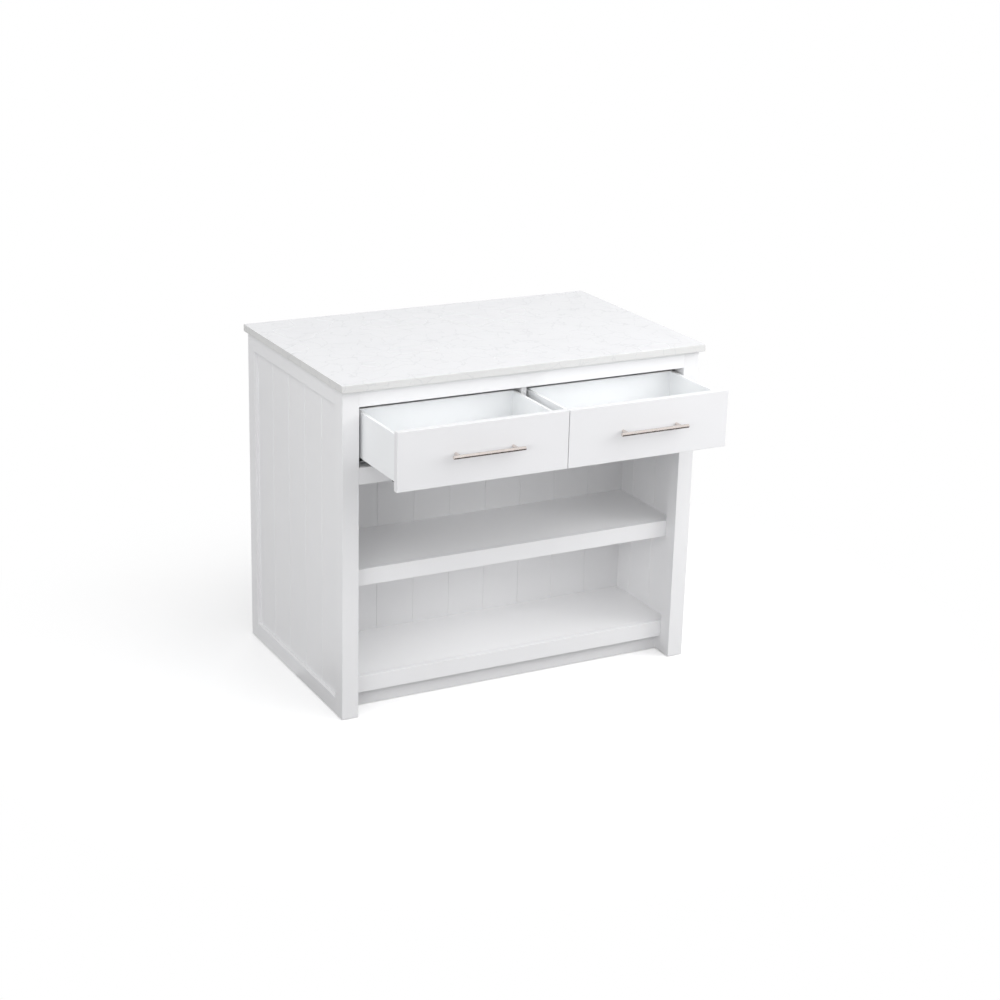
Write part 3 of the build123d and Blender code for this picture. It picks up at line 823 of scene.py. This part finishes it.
def notched(tree, size, sheet):
    """Cut a notch out of each corner, where a board fits round the rails."""
    cutters = []
    for side in (-1, 1):
        for edge, notch in (("Bottom", "Low Notch"), ("Top", "High Notch")):
            block = three(tree, size["Notch Width"] * 2, size["Thickness"] * 4, size[notch] * 2)
            place = three(tree, size["Half Width"] * side, 0, size[edge])
            cutters.append(moved(tree, cube(tree, block), place))
    cut = cut_away(tree, sheet, cutters)
    has_notch = size["Notch Width"].do("GREATER_THAN", 0.0)
    return add(tree, "GeometryNodeSwitch", {0: has_notch, 1: sheet, 2: cut}).outputs[0]


def beadboard_tree():
    tree, size = shape_tree("beadboard", {
        "Half Width": "Float", "Bottom": "Float", "Top": "Float", "Thickness": "Float",
        "Grooves": "Int", "Pitch": "Float", "Groove Width": "Float", "Groove Depth": "Float",
        "Notch Width": "Float", "Low Notch": "Float", "High Notch": "Float",
        "Turn": "Float", "Middle": "Vector",
    })
    columns = size["Grooves"] * GROOVE_COLUMNS + 2
    box = add(tree, "GeometryNodeMeshCube", {"Size": (2, 1, 1), "Vertices X": columns}).outputs[0]
    places = column_places(tree, size, columns)
    sheet = add(tree, "GeometryNodeSetPosition", {0: box, "Position": places}).outputs[0]
    turn = three(tree, 0, 0, size["Turn"])
    turned = moved(tree, notched(tree, size, sheet), size["Middle"], turn)
    return close_tree(tree, turned, size["Finish"])


BEADBOARD = beadboard_tree()
print("beadboard tree:", len(BEADBOARD.nodes), "nodes")


# %% Two end panels and the partition
def beadboard(name, node, grooves, turn, **notches):
    low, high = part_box(node)
    middle = (low + high) / 2
    reach = (high - low) / 2
    across, through = (reach.y, reach.x) if turn else (reach.x, reach.y)
    piece = grow(name, BEADBOARD, {
        "Half Width": across, "Bottom": low.z, "Top": high.z, "Thickness": 2 * through,
        "Grooves": grooves, "Pitch": GROOVE_PITCH,
        "Groove Width": GROOVE_WIDTH, "Groove Depth": GROOVE_DEPTH,
        "Turn": turn, "Middle": (middle.x, middle.y, 0), "Finish": painted_wood, **notches,
    })
    stand_in(piece, "carcass", "painted_wood", node)


END_GROOVES = 4
PARTITION_GROOVES = 8
for hand in ("left", "right"):
    beadboard(f"{hand}_beaded_panel", f"{hand}_end_panel", END_GROOVES, math.radians(90))
beadboard("beaded_partition", "partition", PARTITION_GROOVES, 0.0, **{
    "Notch Width": POST_HIGH.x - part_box("left_end_panel")[1].x,
    "Low Notch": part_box("left_end_bottom_rail")[1].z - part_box("partition")[0].z,
    "High Notch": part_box("partition")[1].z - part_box("left_end_top_rail")[0].z,
})

# %% [markdown]
# ## Small solids, read and made
#
# Some measured pieces hold several separate solids, such as a row of screws. Walking from
# vertex to vertex along the edges finds them, and each one's extent says where its finer
# stand-in goes. Round pieces are then turned as on a lathe: a profile of radius and
# distance is spun into rings. Moulded ones start as blocks with rounded edges.


# %% Find the separate solids of a measured piece
MERGE_DISTANCE = 0.000001


def solids(node):
    """Each separate solid's points, in a steady order."""
    shell = bmesh.new()
    shell.from_mesh(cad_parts[node].data)
    bmesh.ops.remove_doubles(shell, verts=shell.verts, dist=MERGE_DISTANCE)
    seen = set()
    found = []
    for start in shell.verts:
        if start in seen:
            continue
        seen.add(start)
        to_visit = [start]
        points = []
        while to_visit:
            vertex = to_visit.pop()
            points.append(vertex.co.copy())
            for edge in vertex.link_edges:
                other = edge.other_vert(vertex)
                if other not in seen:
                    seen.add(other)
                    to_visit.append(other)
        found.append(points)
    shell.free()
    return found


def extent(points):
    """The lowest and highest corner of a cloud of points."""
    low = Vector([min(point[axis] for point in points) for axis in range(3)])
    high = Vector([max(point[axis] for point in points) for axis in range(3)])
    return low, high


print("separate screws in the slides:", len(solids("slide_screws")))


# %% Lathe, rounded blocks, and the finished object
ROUND_SIDES = 64


def lathe(shell, profile, place, axis, sides=ROUND_SIDES):
    """Spin (radius, distance along the axis) pairs into a closed solid."""
    turn = Vector(axis).to_track_quat("Z", "Y")
    rings = []
    for radius, along in profile:
        angles = [2 * math.pi * i / sides for i in range(sides if radius else 1)]
        ring = [Vector((radius * math.cos(a), radius * math.sin(a), along)) for a in angles]
        rings.append([shell.verts.new(place + turn @ point) for point in ring])
    for first, second in zip(rings, rings[1:]):
        for i in range(sides):
            j = (i + 1) % sides
            corners = [first[i % len(first)], first[j % len(first)]]
            corners += [second[j % len(second)], second[i % len(second)]]
            shell.faces.new(list(dict.fromkeys(corners)))


def rounded_block(shell, low, high, radius, steps=2):
    """A block with rounded edges and corners."""
    size = Vector(high) - Vector(low)
    place = Matrix.Translation((Vector(high) + Vector(low)) / 2) @ Matrix.Diagonal((*size, 1))
    corners = bmesh.ops.create_cube(shell, size=1, matrix=place)["verts"]
    edges = list(dict.fromkeys(edge for corner in corners for edge in corner.link_edges))
    bmesh.ops.bevel(shell, geom=edges, offset=radius, segments=steps, profile=0.5, affect="EDGES")


def finished(name, shell, coat):
    """The object of a bmesh: faces outwards, smooth up to a crease, one finish."""
    bmesh.ops.recalc_face_normals(shell, faces=shell.faces)
    for face in shell.faces:
        face.smooth = True
    for edge in shell.edges:
        edge.smooth = edge.calc_face_angle(0) < CREASE
    mesh = bpy.data.meshes.new(name)
    shell.to_mesh(mesh)
    shell.free()
    mesh.materials.append(coat)
    piece = bpy.data.objects.new(name, mesh)
    bpy.context.scene.collection.objects.link(piece)
    return piece


def merged(name, pieces, coat):
    """One object from several."""
    shell = bmesh.new()
    for piece in pieces:
        shell.from_mesh(piece.data)
        bpy.data.objects.remove(piece)
    return finished(name, shell, coat)


print("lathe sides:", ROUND_SIDES)

# %% [markdown]
# ## Bar handles
#
# Each drawer has a plain round bar on two round legs. The bar's ends are cut square with
# a fine chamfer, which catches a thin line of light. The legs run into the bar, so their
# joint is the clean saddle curve where two round rods meet.

# %% Handles
BAR_CHAMFER = 0.4 * MILLIMETRE
LEG_CHAMFER = 0.3 * MILLIMETRE
TOWARDS_USER = (0, -1, 0)


def handle_bar(hand):
    low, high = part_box(f"{hand}_drawer_handle_bar")
    radius = (high.z - low.z) / 2
    half = (high.x - low.x) / 2
    end = [(0, half), (radius - BAR_CHAMFER, half), (radius, half - BAR_CHAMFER)]
    shell = bmesh.new()
    lathe(shell, end + [(r, -along) for r, along in reversed(end)], (low + high) / 2, (1, 0, 0))
    bar = finished(f"{hand}_bar", shell, nickel)
    stand_in(bar, f"{hand}_drawer", "brushed_nickel", f"{hand}_drawer_handle_bar")
    return (low.y + high.y) / 2


def handle_legs(hand, bar_y):
    """Two legs from the drawer front to the middle of the bar."""
    shell = bmesh.new()
    for points in solids(f"{hand}_drawer_handle_stand_offs"):
        low, high = extent(points)
        radius = (high.x - low.x) / 2
        reach = high.y - bar_y
        foot = Vector(((low.x + high.x) / 2, high.y, (low.z + high.z) / 2))
        profile = [(0, 0), (radius - LEG_CHAMFER, 0), (radius, LEG_CHAMFER)]
        profile += [(radius, reach), (0, reach)]
        lathe(shell, profile, foot, TOWARDS_USER)
    legs = finished(f"{hand}_bar_legs", shell, nickel)
    stand_in(legs, f"{hand}_drawer", "brushed_nickel", f"{hand}_drawer_handle_stand_offs")


for hand in ("left", "right"):
    handle_legs(hand, handle_bar(hand))

# %% [markdown]
# ## Screws
#
# Three kinds of pan-head screw hold the slides, the drawer fronts and the handles. They
# differ in length and place alone, so one tree makes the master screw and puts a copy at
# every seat: a domed head swept along a short line whose scale falls away, a cross cut
# into it, a core that narrows to a point, and a thread that is a triangle swept along a
# spiral. Each seat carries the direction in which its screw was driven.

# %% Screw tree
HEAD_SIDES = 32
HEAD_STEPS = 12
CORE_SHARE = 0.78             # of the shank's radius, under the thread
THREAD_STEPS = 16             # per turn
THREAD_SHARE = 0.94           # of the shank's length
DOME_POWERS = (3, 0.45)       # how late the dome's radius falls away, and how steeply
DOME_FLAT = 0.02              # of the head's radius, left at its top
CROSS_LONG = 1.1              # of the head's radius
CROSS_WIDE = 0.24
CROSS_RISE = 0.9              # of the head's height, up to the middle of the cutter
TIP_FROM = 0.8                # of the shank's length
TIP_RADIUS = 0.1              # of the core's radius


def swept(tree, curve, profile, scale):
    inputs = {"Curve": curve, "Profile Curve": profile, "Scale": scale, "Fill Caps": True}
    return add(tree, "GeometryNodeCurveToMesh", inputs).outputs[0]


def round_profile(tree, sides):
    inputs = {"Resolution": sides, "Radius": 1}
    return add(tree, "GeometryNodeCurvePrimitiveCircle", inputs).outputs[0]


def straight(tree, end, count):
    """A line from the origin, cut into equal steps, and how far along it each point is."""
    line = add(tree, "GeometryNodeCurvePrimitiveLine", {"Start": (0, 0, 0), "End": end}).outputs[0]
    cut = add(tree, "GeometryNodeResampleCurve", {"Curve": line, "Count": count}).outputs[0]
    return cut, Field(tree, add(tree, "GeometryNodeSplineParameter").outputs["Factor"])


def screw_head(tree, size):
    line, along = straight(tree, three(tree, 0, 0, size["Head Height"] * -1), HEAD_STEPS)
    late, steep = DOME_POWERS
    fall = (Field(tree, 1) - along.do("POWER", late)).do("MAXIMUM", 0.0).do("POWER", steep)
    radius = size["Head Radius"]
    narrowing = radius * (fall * (1 - DOME_FLAT) + DOME_FLAT)
    dome = swept(tree, line, round_profile(tree, HEAD_SIDES), narrowing)
    cross = []
    for along_x, along_y in ((CROSS_LONG, CROSS_WIDE), (CROSS_WIDE, CROSS_LONG)):
        block = cube(tree, three(tree, radius * along_x, radius * along_y, size["Head Height"]))
        cross.append(moved(tree, block, three(tree, 0, 0, size["Head Height"] * -CROSS_RISE)))
    return cut_away(tree, dome, cross)


def screw_shank(tree, size):
    core, along = straight(tree, three(tree, 0, 0, size["Length"]), HEAD_STEPS)
    tip = Field(tree, spread(tree, along, TIP_FROM, 1.0, 1.0, TIP_RADIUS))
    narrowing = (tip - 1) * size["Pointed"] + 1
    radius = size["Shank Radius"]
    profile = round_profile(tree, HEAD_SIDES // 2)
    shaft = swept(tree, core, profile, radius * narrowing * CORE_SHARE)
    threaded = size["Length"] * THREAD_SHARE
    spiral = add(tree, "GeometryNodeCurveSpiral", {
        "Resolution": THREAD_STEPS, "Rotations": threaded / size["Pitch"],
        "Start Radius": radius * CORE_SHARE, "End Radius": radius * CORE_SHARE,
        "Height": threaded,
    }).outputs[0]
    return [shaft, swept(tree, spiral, round_profile(tree, 3), radius * (1 - CORE_SHARE))]


def screw_tree():
    tree, size = shape_tree("pan_head_screws", {
        "Head Radius": "Float", "Head Height": "Float", "Shank Radius": "Float",
        "Length": "Float", "Pitch": "Float", "Pointed": "Float",
    })
    master = joined(tree, [screw_head(tree, size), *screw_shank(tree, size)])
    driven = add(tree, "GeometryNodeInputNamedAttribute", {"Name": "driven"},
                 data_type="FLOAT_VECTOR")
    turn = add(tree, "FunctionNodeAlignRotationToVector", {"Vector": driven.outputs[0]}, axis="Z")
    seats = add(tree, "GeometryNodeMeshToPoints", {0: size["Seed"]}).outputs[0]
    return close_tree(tree, copied(tree, seats, master, turn.outputs[0]), size["Finish"])


SCREWS = screw_tree()
print("screw tree:", len(SCREWS.nodes), "nodes")


# %% Drive the screws
RIM_FROM = 0.8                # of the head's squared radius


def screw_seat(points):
    """Where a screw's head sits, the way it was driven, and its length and head radius."""
    low, high = extent(points)
    size = high - low
    axis = max(range(3), key=lambda i: size[i])
    middle = (low + high) / 2
    head_radius = min(size) / 2
    rim = []
    for point in points:
        out = point - middle
        if out.length ** 2 - out[axis] ** 2 > RIM_FROM * head_radius ** 2:
            rim.append(point[axis])
    seat = min(rim, key=lambda value: abs(value - middle[axis]))
    far_end = low[axis] if seat > middle[axis] else high[axis]
    place, driven = middle.copy(), Vector()
    place[axis] = seat
    driven[axis] = math.copysign(1, far_end - seat)
    return place, driven, abs(far_end - seat), head_radius


def screws(name, body, node, pitch, pointed=1.0):
    seats = [screw_seat(points) for points in solids(node)]
    mesh = bpy.data.meshes.new(name)
    mesh.from_pydata([place for place, *_ in seats], [], [])
    driven = mesh.attributes.new("driven", "FLOAT_VECTOR", "POINT")
    for value, (_, way, *_) in zip(driven.data, seats):
        value.vector = way
    length, head_radius = seats[0][2:]
    piece = grow(name, SCREWS, {
        "Head Radius": head_radius, "Head Height": head_radius / 2,
        "Shank Radius": head_radius / 2, "Length": length,
        "Pitch": pitch, "Pointed": pointed, "Finish": zinc,
    }, seed=mesh)
    stand_in(piece, body, "zinc_steel", node)


COARSE_PITCH = 1.8 * MILLIMETRE
MACHINE_PITCH = 0.7 * MILLIMETRE
screws("slide_pan_screws", "carcass", "slide_screws", COARSE_PITCH)
for hand in ("left", "right"):
    body = f"{hand}_drawer"
    screws(f"{hand}_front_pan_screws", body, f"{hand}_drawer_front_screws", COARSE_PITCH)
    screws(f"{hand}_handle_pan_screws", body, f"{hand}_drawer_handle_screws", MACHINE_PITCH, 0.0)

# %% [markdown]
# ## Rolled slide members
#
# A drawer slide is bent from steel strip, so each member has one thickness and rounded
# bends. The tree starts from the member's section drawn as a line, rounds its corners,
# pulls it along the slide, and gives the sheet its thickness on both sides. Loose points
# beside the line say where slots are punched. Where a web meets a bridge, one boolean
# joins them, as a weld does.

# %% Rolled section tree
STEEL = 1.5 * MILLIMETRE
BEND_STEPS = 4


def thick(tree, sheet, thickness):
    """A closed solid from a sheet: its two faces lie half the thickness either side."""
    normal = add(tree, "GeometryNodeInputNormal").outputs[0]
    back = add(tree, "ShaderNodeVectorMath", {0: normal, "Scale": thickness * -0.5},
               operation="SCALE")
    low = add(tree, "GeometryNodeSetPosition", {0: sheet, "Offset": back.outputs[0]}).outputs[0]
    grown = add(tree, "GeometryNodeExtrudeMesh", {
        "Mesh": low, "Offset Scale": thickness, "Individual": False,
    }).outputs[0]
    under = add(tree, "GeometryNodeFlipFaces", {"Mesh": low}).outputs[0]
    merging = {0: joined(tree, [grown, under]), "Distance": MERGE_DISTANCE}
    return add(tree, "GeometryNodeMergeByDistance", merging).outputs[0]


def slot_cutter(tree, size):
    """The rounded prism of a slot, lying along the slide and crossing its wall."""
    rod = add(tree, "GeometryNodeMeshCylinder", {
        "Vertices": 16, "Radius": size["Slot Width"] * 0.5, "Depth": size["Thickness"] * 4,
    }).outputs[0]
    reach = (size["Slot Length"] - size["Slot Width"]) * 0.5
    ends = []
    for side in (-1, 1):
        ends.append(moved(tree, rod, three(tree, 0, reach * side, 0), (0, math.radians(90), 0)))
    return add(tree, "GeometryNodeConvexHull", {0: joined(tree, ends)}).outputs[0]


def rolled_tree():
    tree, size = shape_tree("rolled_section", {
        "Length": "Float", "Thickness": "Float", "Bend": "Float",
        "Slot Length": "Float", "Slot Width": "Float",
    })
    line = add(tree, "GeometryNodeMeshToCurve", {"Mesh": size["Seed"]}).outputs[0]
    bent = add(tree, "GeometryNodeFilletCurve", {
        "Curve": line, "Radius": size["Bend"], "Count": BEND_STEPS, "Limit Radius": True,
    }, mode="POLY").outputs[0]
    edges = add(tree, "GeometryNodeCurveToMesh", {"Curve": bent}).outputs[0]
    sheet = add(tree, "GeometryNodeExtrudeMesh", {
        "Mesh": edges, "Offset": three(tree, 0, 1, 0), "Offset Scale": size["Length"],
    }, mode="EDGES").outputs[0]
    member = thick(tree, sheet, size["Thickness"])
    welded = add(tree, "GeometryNodeMeshBoolean", {1: member, "Self Intersection": True},
                 operation="UNION", solver="EXACT").outputs[0]
    neighbours = Field(tree, add(tree, "GeometryNodeInputMeshVertexNeighbors").outputs[0])
    places = add(tree, "GeometryNodeMeshToPoints", {
        0: size["Seed"], "Selection": neighbours.do("LESS_THAN", 0.5),
    }).outputs[0]
    slots = real_faces(tree, copied(tree, places, slot_cutter(tree, size)))
    return close_tree(tree, cut_away(tree, welded, slots), size["Finish"])


ROLLED = rolled_tree()
print("rolled section tree:", len(ROLLED.nodes), "nodes")

# %% [markdown]
# The sections are drawn once, as distances in millimetres from the wall towards the
# middle of the drawer, and up from the base of the outer member. That member is screwed to
# the wall by its flange and has two low lips, the middle one is an H on end, and the inner
# one a U turned over. Each drawer has one slide on its end wall and a mirrored one on the
# divider.

# %% Slide members
SECTIONS = {
    "outers": [
        [(0.75, 25), (0.75, 0.75), (40.75, 0.75), (40.75, 4)],
        [(19.25, 0.75), (19.25, 4)],
    ],
    "middles": [
        [(22.75, 2.5), (22.75, 31)],
        [(37.25, 2.5), (37.25, 31)],
        [(22.75, 17.75), (37.25, 17.75)],
    ],
    "inners": [[(19.75, 19), (19.75, 35.25), (40.25, 35.25), (40.25, 19)]],
}
RIDES_ON = {"outers": "carcass", "middles": "{}_slide_middles", "inners": "{}_drawer"}
BEND = 2.2 * MILLIMETRE
SLOT_LENGTH = 9 * MILLIMETRE
SLOT_WIDTH = 4.5 * MILLIMETRE
SLOT_FROM_SCREW = 13 * MILLIMETRE


def slide_walls(hand):
    """Each wall's face with the way the drawer lies from it, and the slide's lowest height."""
    low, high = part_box(f"{hand}_drawer_slide_outers")
    return ((low.x, 1), (high.x, -1)), low.z


def slot_places(walls):
    """The middle of each slot: one on either side of every screw in the outer members."""
    seats = [screw_seat(points)[0] for points in solids("slide_screws")]
    return [
        (face + way * STEEL / 2, seat.y + side * SLOT_FROM_SCREW, seat.z)
        for face, way in walls
        for seat in seats if abs(seat.x - face) < 2 * STEEL
        for side in (-1, 1)
    ]


def slide_member(hand, member):
    node = f"{hand}_drawer_slide_{member}"
    low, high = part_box(node)
    walls, ground = slide_walls(hand)
    points, edges = [], []
    for face, way in walls:
        for line in SECTIONS[member]:
            first = len(points)
            for out, up in line:
                points.append((face + way * out * MILLIMETRE, low.y, ground + up * MILLIMETRE))
            edges += [(i, i + 1) for i in range(first, len(points) - 1)]
    if member == "outers":
        points += slot_places(walls)
    seed = bpy.data.meshes.new(node)
    seed.from_pydata(points, edges, [])
    piece = grow(f"{hand}_rolled_{member}", ROLLED, {
        "Length": high.y - low.y, "Thickness": STEEL, "Bend": BEND,
        "Slot Length": SLOT_LENGTH, "Slot Width": SLOT_WIDTH, "Finish": zinc,
    }, seed=seed)
    stand_in(piece, RIDES_ON[member].format(hand), "zinc_steel", node)


for hand in ("left", "right"):
    for member in SECTIONS:
        slide_member(hand, member)

# %% [markdown]
# ## Roller carriages
#
# Between two slide members runs a long plastic cage with rollers in its pockets. The cage
# is a bar with pockets cut through it, and the rollers are copies along a line of points,
# so their number is one input. They stand a little proud of the cage, because they alone
# touch the steel.

# %% Carriage tree
CAGE_SHARE = 0.72             # of the carriage's height
POCKET_SHARE = 0.86           # of the distance between rollers
ROLLER_SIDES = 32
ROLLER_SHARE = 0.82           # of the same distance
ROLLER_LENGTH_SHARE = 0.92    # of the pocket's width
CAGE_WALL = 1.5 * MILLIMETRE


def carriage_tree():
    tree, size = shape_tree("roller_carriage", {
        "Length": "Float", "Width": "Float", "Height": "Float",
        "Rollers": "Int", "Wall": "Float",
    })
    pitch = size["Length"] / size["Rollers"]
    bar = three(tree, size["Width"], size["Length"], size["Height"] * CAGE_SHARE)
    first = three(tree, 0, (pitch - size["Length"]) * 0.5, 0)
    line = add(tree, "GeometryNodeMeshLine", {
        "Count": size["Rollers"], "Start Location": first, "Offset": three(tree, 0, pitch, 0),
    }).outputs[0]
    inner_width = size["Width"] - size["Wall"] * 2
    pocket_size = three(tree, inner_width, pitch * POCKET_SHARE, size["Height"])
    pockets = real_faces(tree, copied(tree, line, cube(tree, pocket_size)))
    open_cage = cut_away(tree, cube(tree, bar), pockets)
    radius = size["Height"].do("MINIMUM", pitch * ROLLER_SHARE) * 0.5
    roller = add(tree, "GeometryNodeMeshCylinder", {
        "Vertices": ROLLER_SIDES, "Radius": radius, "Depth": inner_width * ROLLER_LENGTH_SHARE,
    }).outputs[0]
    lying = moved(tree, roller, (0, 0, 0), (0, math.radians(90), 0))
    one = joined(tree, [open_cage, copied(tree, line, lying)])
    places = add(tree, "GeometryNodeMeshToPoints", {0: size["Seed"]}).outputs[0]
    return close_tree(tree, copied(tree, places, one), size["Finish"])


CARRIAGE = carriage_tree()
print("carriage tree:", len(CARRIAGE.nodes), "nodes")


# %% Carriages in the middle members
LONG_ROLLERS = 4
SHORT_ROLLERS = 3
LONG_FROM = 0.99              # of the longest carriage's length


def carriages(hand):
    """The long carriages run below the bridge and the short ones above it."""
    node = f"{hand}_drawer_slide_carriages"
    boxes = [extent(points) for points in solids(node)]
    longest = max(high.y - low.y for low, high in boxes)
    pieces = []
    for rollers, is_long in ((LONG_ROLLERS, True), (SHORT_ROLLERS, False)):
        chosen = [
            (low, high) for low, high in boxes if (high.y - low.y > LONG_FROM * longest) == is_long
        ]
        size = chosen[0][1] - chosen[0][0]
        seed = bpy.data.meshes.new(node)
        seed.from_pydata([(low + high) / 2 for low, high in chosen], [], [])
        pieces.append(grow(node + "_part", CARRIAGE, {
            "Length": size.y, "Width": size.x, "Height": size.z, "Rollers": rollers,
            "Wall": CAGE_WALL, "Finish": milky,
        }, seed=seed))
    piece = merged(f"{hand}_roller_carriages", pieces, milky)
    stand_in(piece, f"{hand}_slide_middles", "carriage_plastic", node)


for hand in ("left", "right"):
    carriages(hand)

# %% [markdown]
# ## Locking clips
#
# Under each front corner of a drawer a moulded clip grips the end of the slide. Its
# shape is a few rounded blocks run together: a sole, a body with stiffening ribs, and a
# release lever with ridges for the finger. Each block is bevelled as it is made, because
# moulded plastic has no sharp edge anywhere.

# %% Clips
CLIP_ROUNDING = 1.0 * MILLIMETRE
RIDGE_ROUNDING = 0.3 * MILLIMETRE
CLIP_SOLE = 4 * MILLIMETRE
CLIP_INSET = 1.5 * MILLIMETRE  # from the sole to the body on it
CLIP_RIBS = 4
LEVER_RIDGES = 6


def clip_body(shell, low, high):
    """A sole, a narrower body on it, and upright ribs round the body."""
    inset = Vector((CLIP_INSET, CLIP_INSET, 0))
    rounded_block(shell, low, (high.x, high.y, low.z + CLIP_SOLE), CLIP_ROUNDING)
    rounded_block(shell, low + inset + Vector((0, 0, CLIP_SOLE / 2)), high - inset, CLIP_ROUNDING)
    pitch = (high.y - low.y) / CLIP_RIBS
    for i in range(CLIP_RIBS):
        y = low.y + (i + 0.5) * pitch
        rib_low = (low.x + CLIP_INSET / 3, y - CLIP_INSET / 2, low.z + CLIP_SOLE / 2)
        rib_high = (high.x - CLIP_INSET / 3, y + CLIP_INSET / 2, high.z - CLIP_INSET)
        rounded_block(shell, rib_low, rib_high, RIDGE_ROUNDING)


def clip_lever(shell, low, high):
    """A flat finger tab with ridges across it."""
    rounded_block(shell, low, high, CLIP_ROUNDING)
    pitch = (high.x - low.x) / (LEVER_RIDGES + 1)
    for i in range(LEVER_RIDGES):
        x = low.x + (i + 1) * pitch
        ridge_low = (x - pitch / 4, low.y + 2 * CLIP_ROUNDING, high.z - CLIP_ROUNDING)
        ridge_high = (x + pitch / 4, high.y - 2 * CLIP_ROUNDING, high.z + CLIP_ROUNDING / 2)
        rounded_block(shell, ridge_low, ridge_high, RIDGE_ROUNDING)


def clips(hand):
    """The lever is the clip's lowest stretch beyond its tall body."""
    node = f"{hand}_drawer_slide_clips"
    shell = bmesh.new()
    for points in solids(node):
        low, high = extent(points)
        body_low, body_high = extent([point for point in points if point.z > high.z - MILLIMETRE])
        body_low.z = low.z
        beyond = [p for p in points if not body_low.x - MILLIMETRE < p.x < body_high.x + MILLIMETRE]
        lever_low, lever_high = extent(beyond)
        if lever_low.x > body_high.x:
            lever_low.x = body_high.x - CLIP_SOLE
        else:
            lever_high.x = body_low.x + CLIP_SOLE
        clip_body(shell, body_low, body_high)
        clip_lever(shell, lever_low, lever_high)
    piece = finished(f"{hand}_locking_clips", shell, black)
    stand_in(piece, f"{hand}_drawer", "black_plastic", node)


for hand in ("left", "right"):
    clips(hand)

# %% [markdown]
# ## Floor glides
#
# A glide is a small plastic disc with a rounded rim, nailed under each post. Only its edge
# shows, as a thin dark line that lifts the post off the floor.

# %% Glides
GLIDE_RIM = 0.8 * MILLIMETRE
RIM_STEPS = 3

shell = bmesh.new()
for points in solids("floor_glides"):
    low, high = extent(points)
    radius = (high.x - low.x) / 2
    centre = Vector(((low.x + high.x) / 2, (low.y + high.y) / 2, 0))
    rim = [
        (radius - GLIDE_RIM * (1 - math.sin(turn)), low.z + GLIDE_RIM * (1 - math.cos(turn)))
        for turn in [math.radians(90 * step / RIM_STEPS) for step in range(RIM_STEPS + 1)]
    ]
    lathe(shell, [(0, low.z), *rim, (radius, high.z), (0, high.z)], centre, (0, 0, 1))
stand_in(finished("nailed_glides", shell, grey), "carcass", "glide_plastic", "floor_glides")
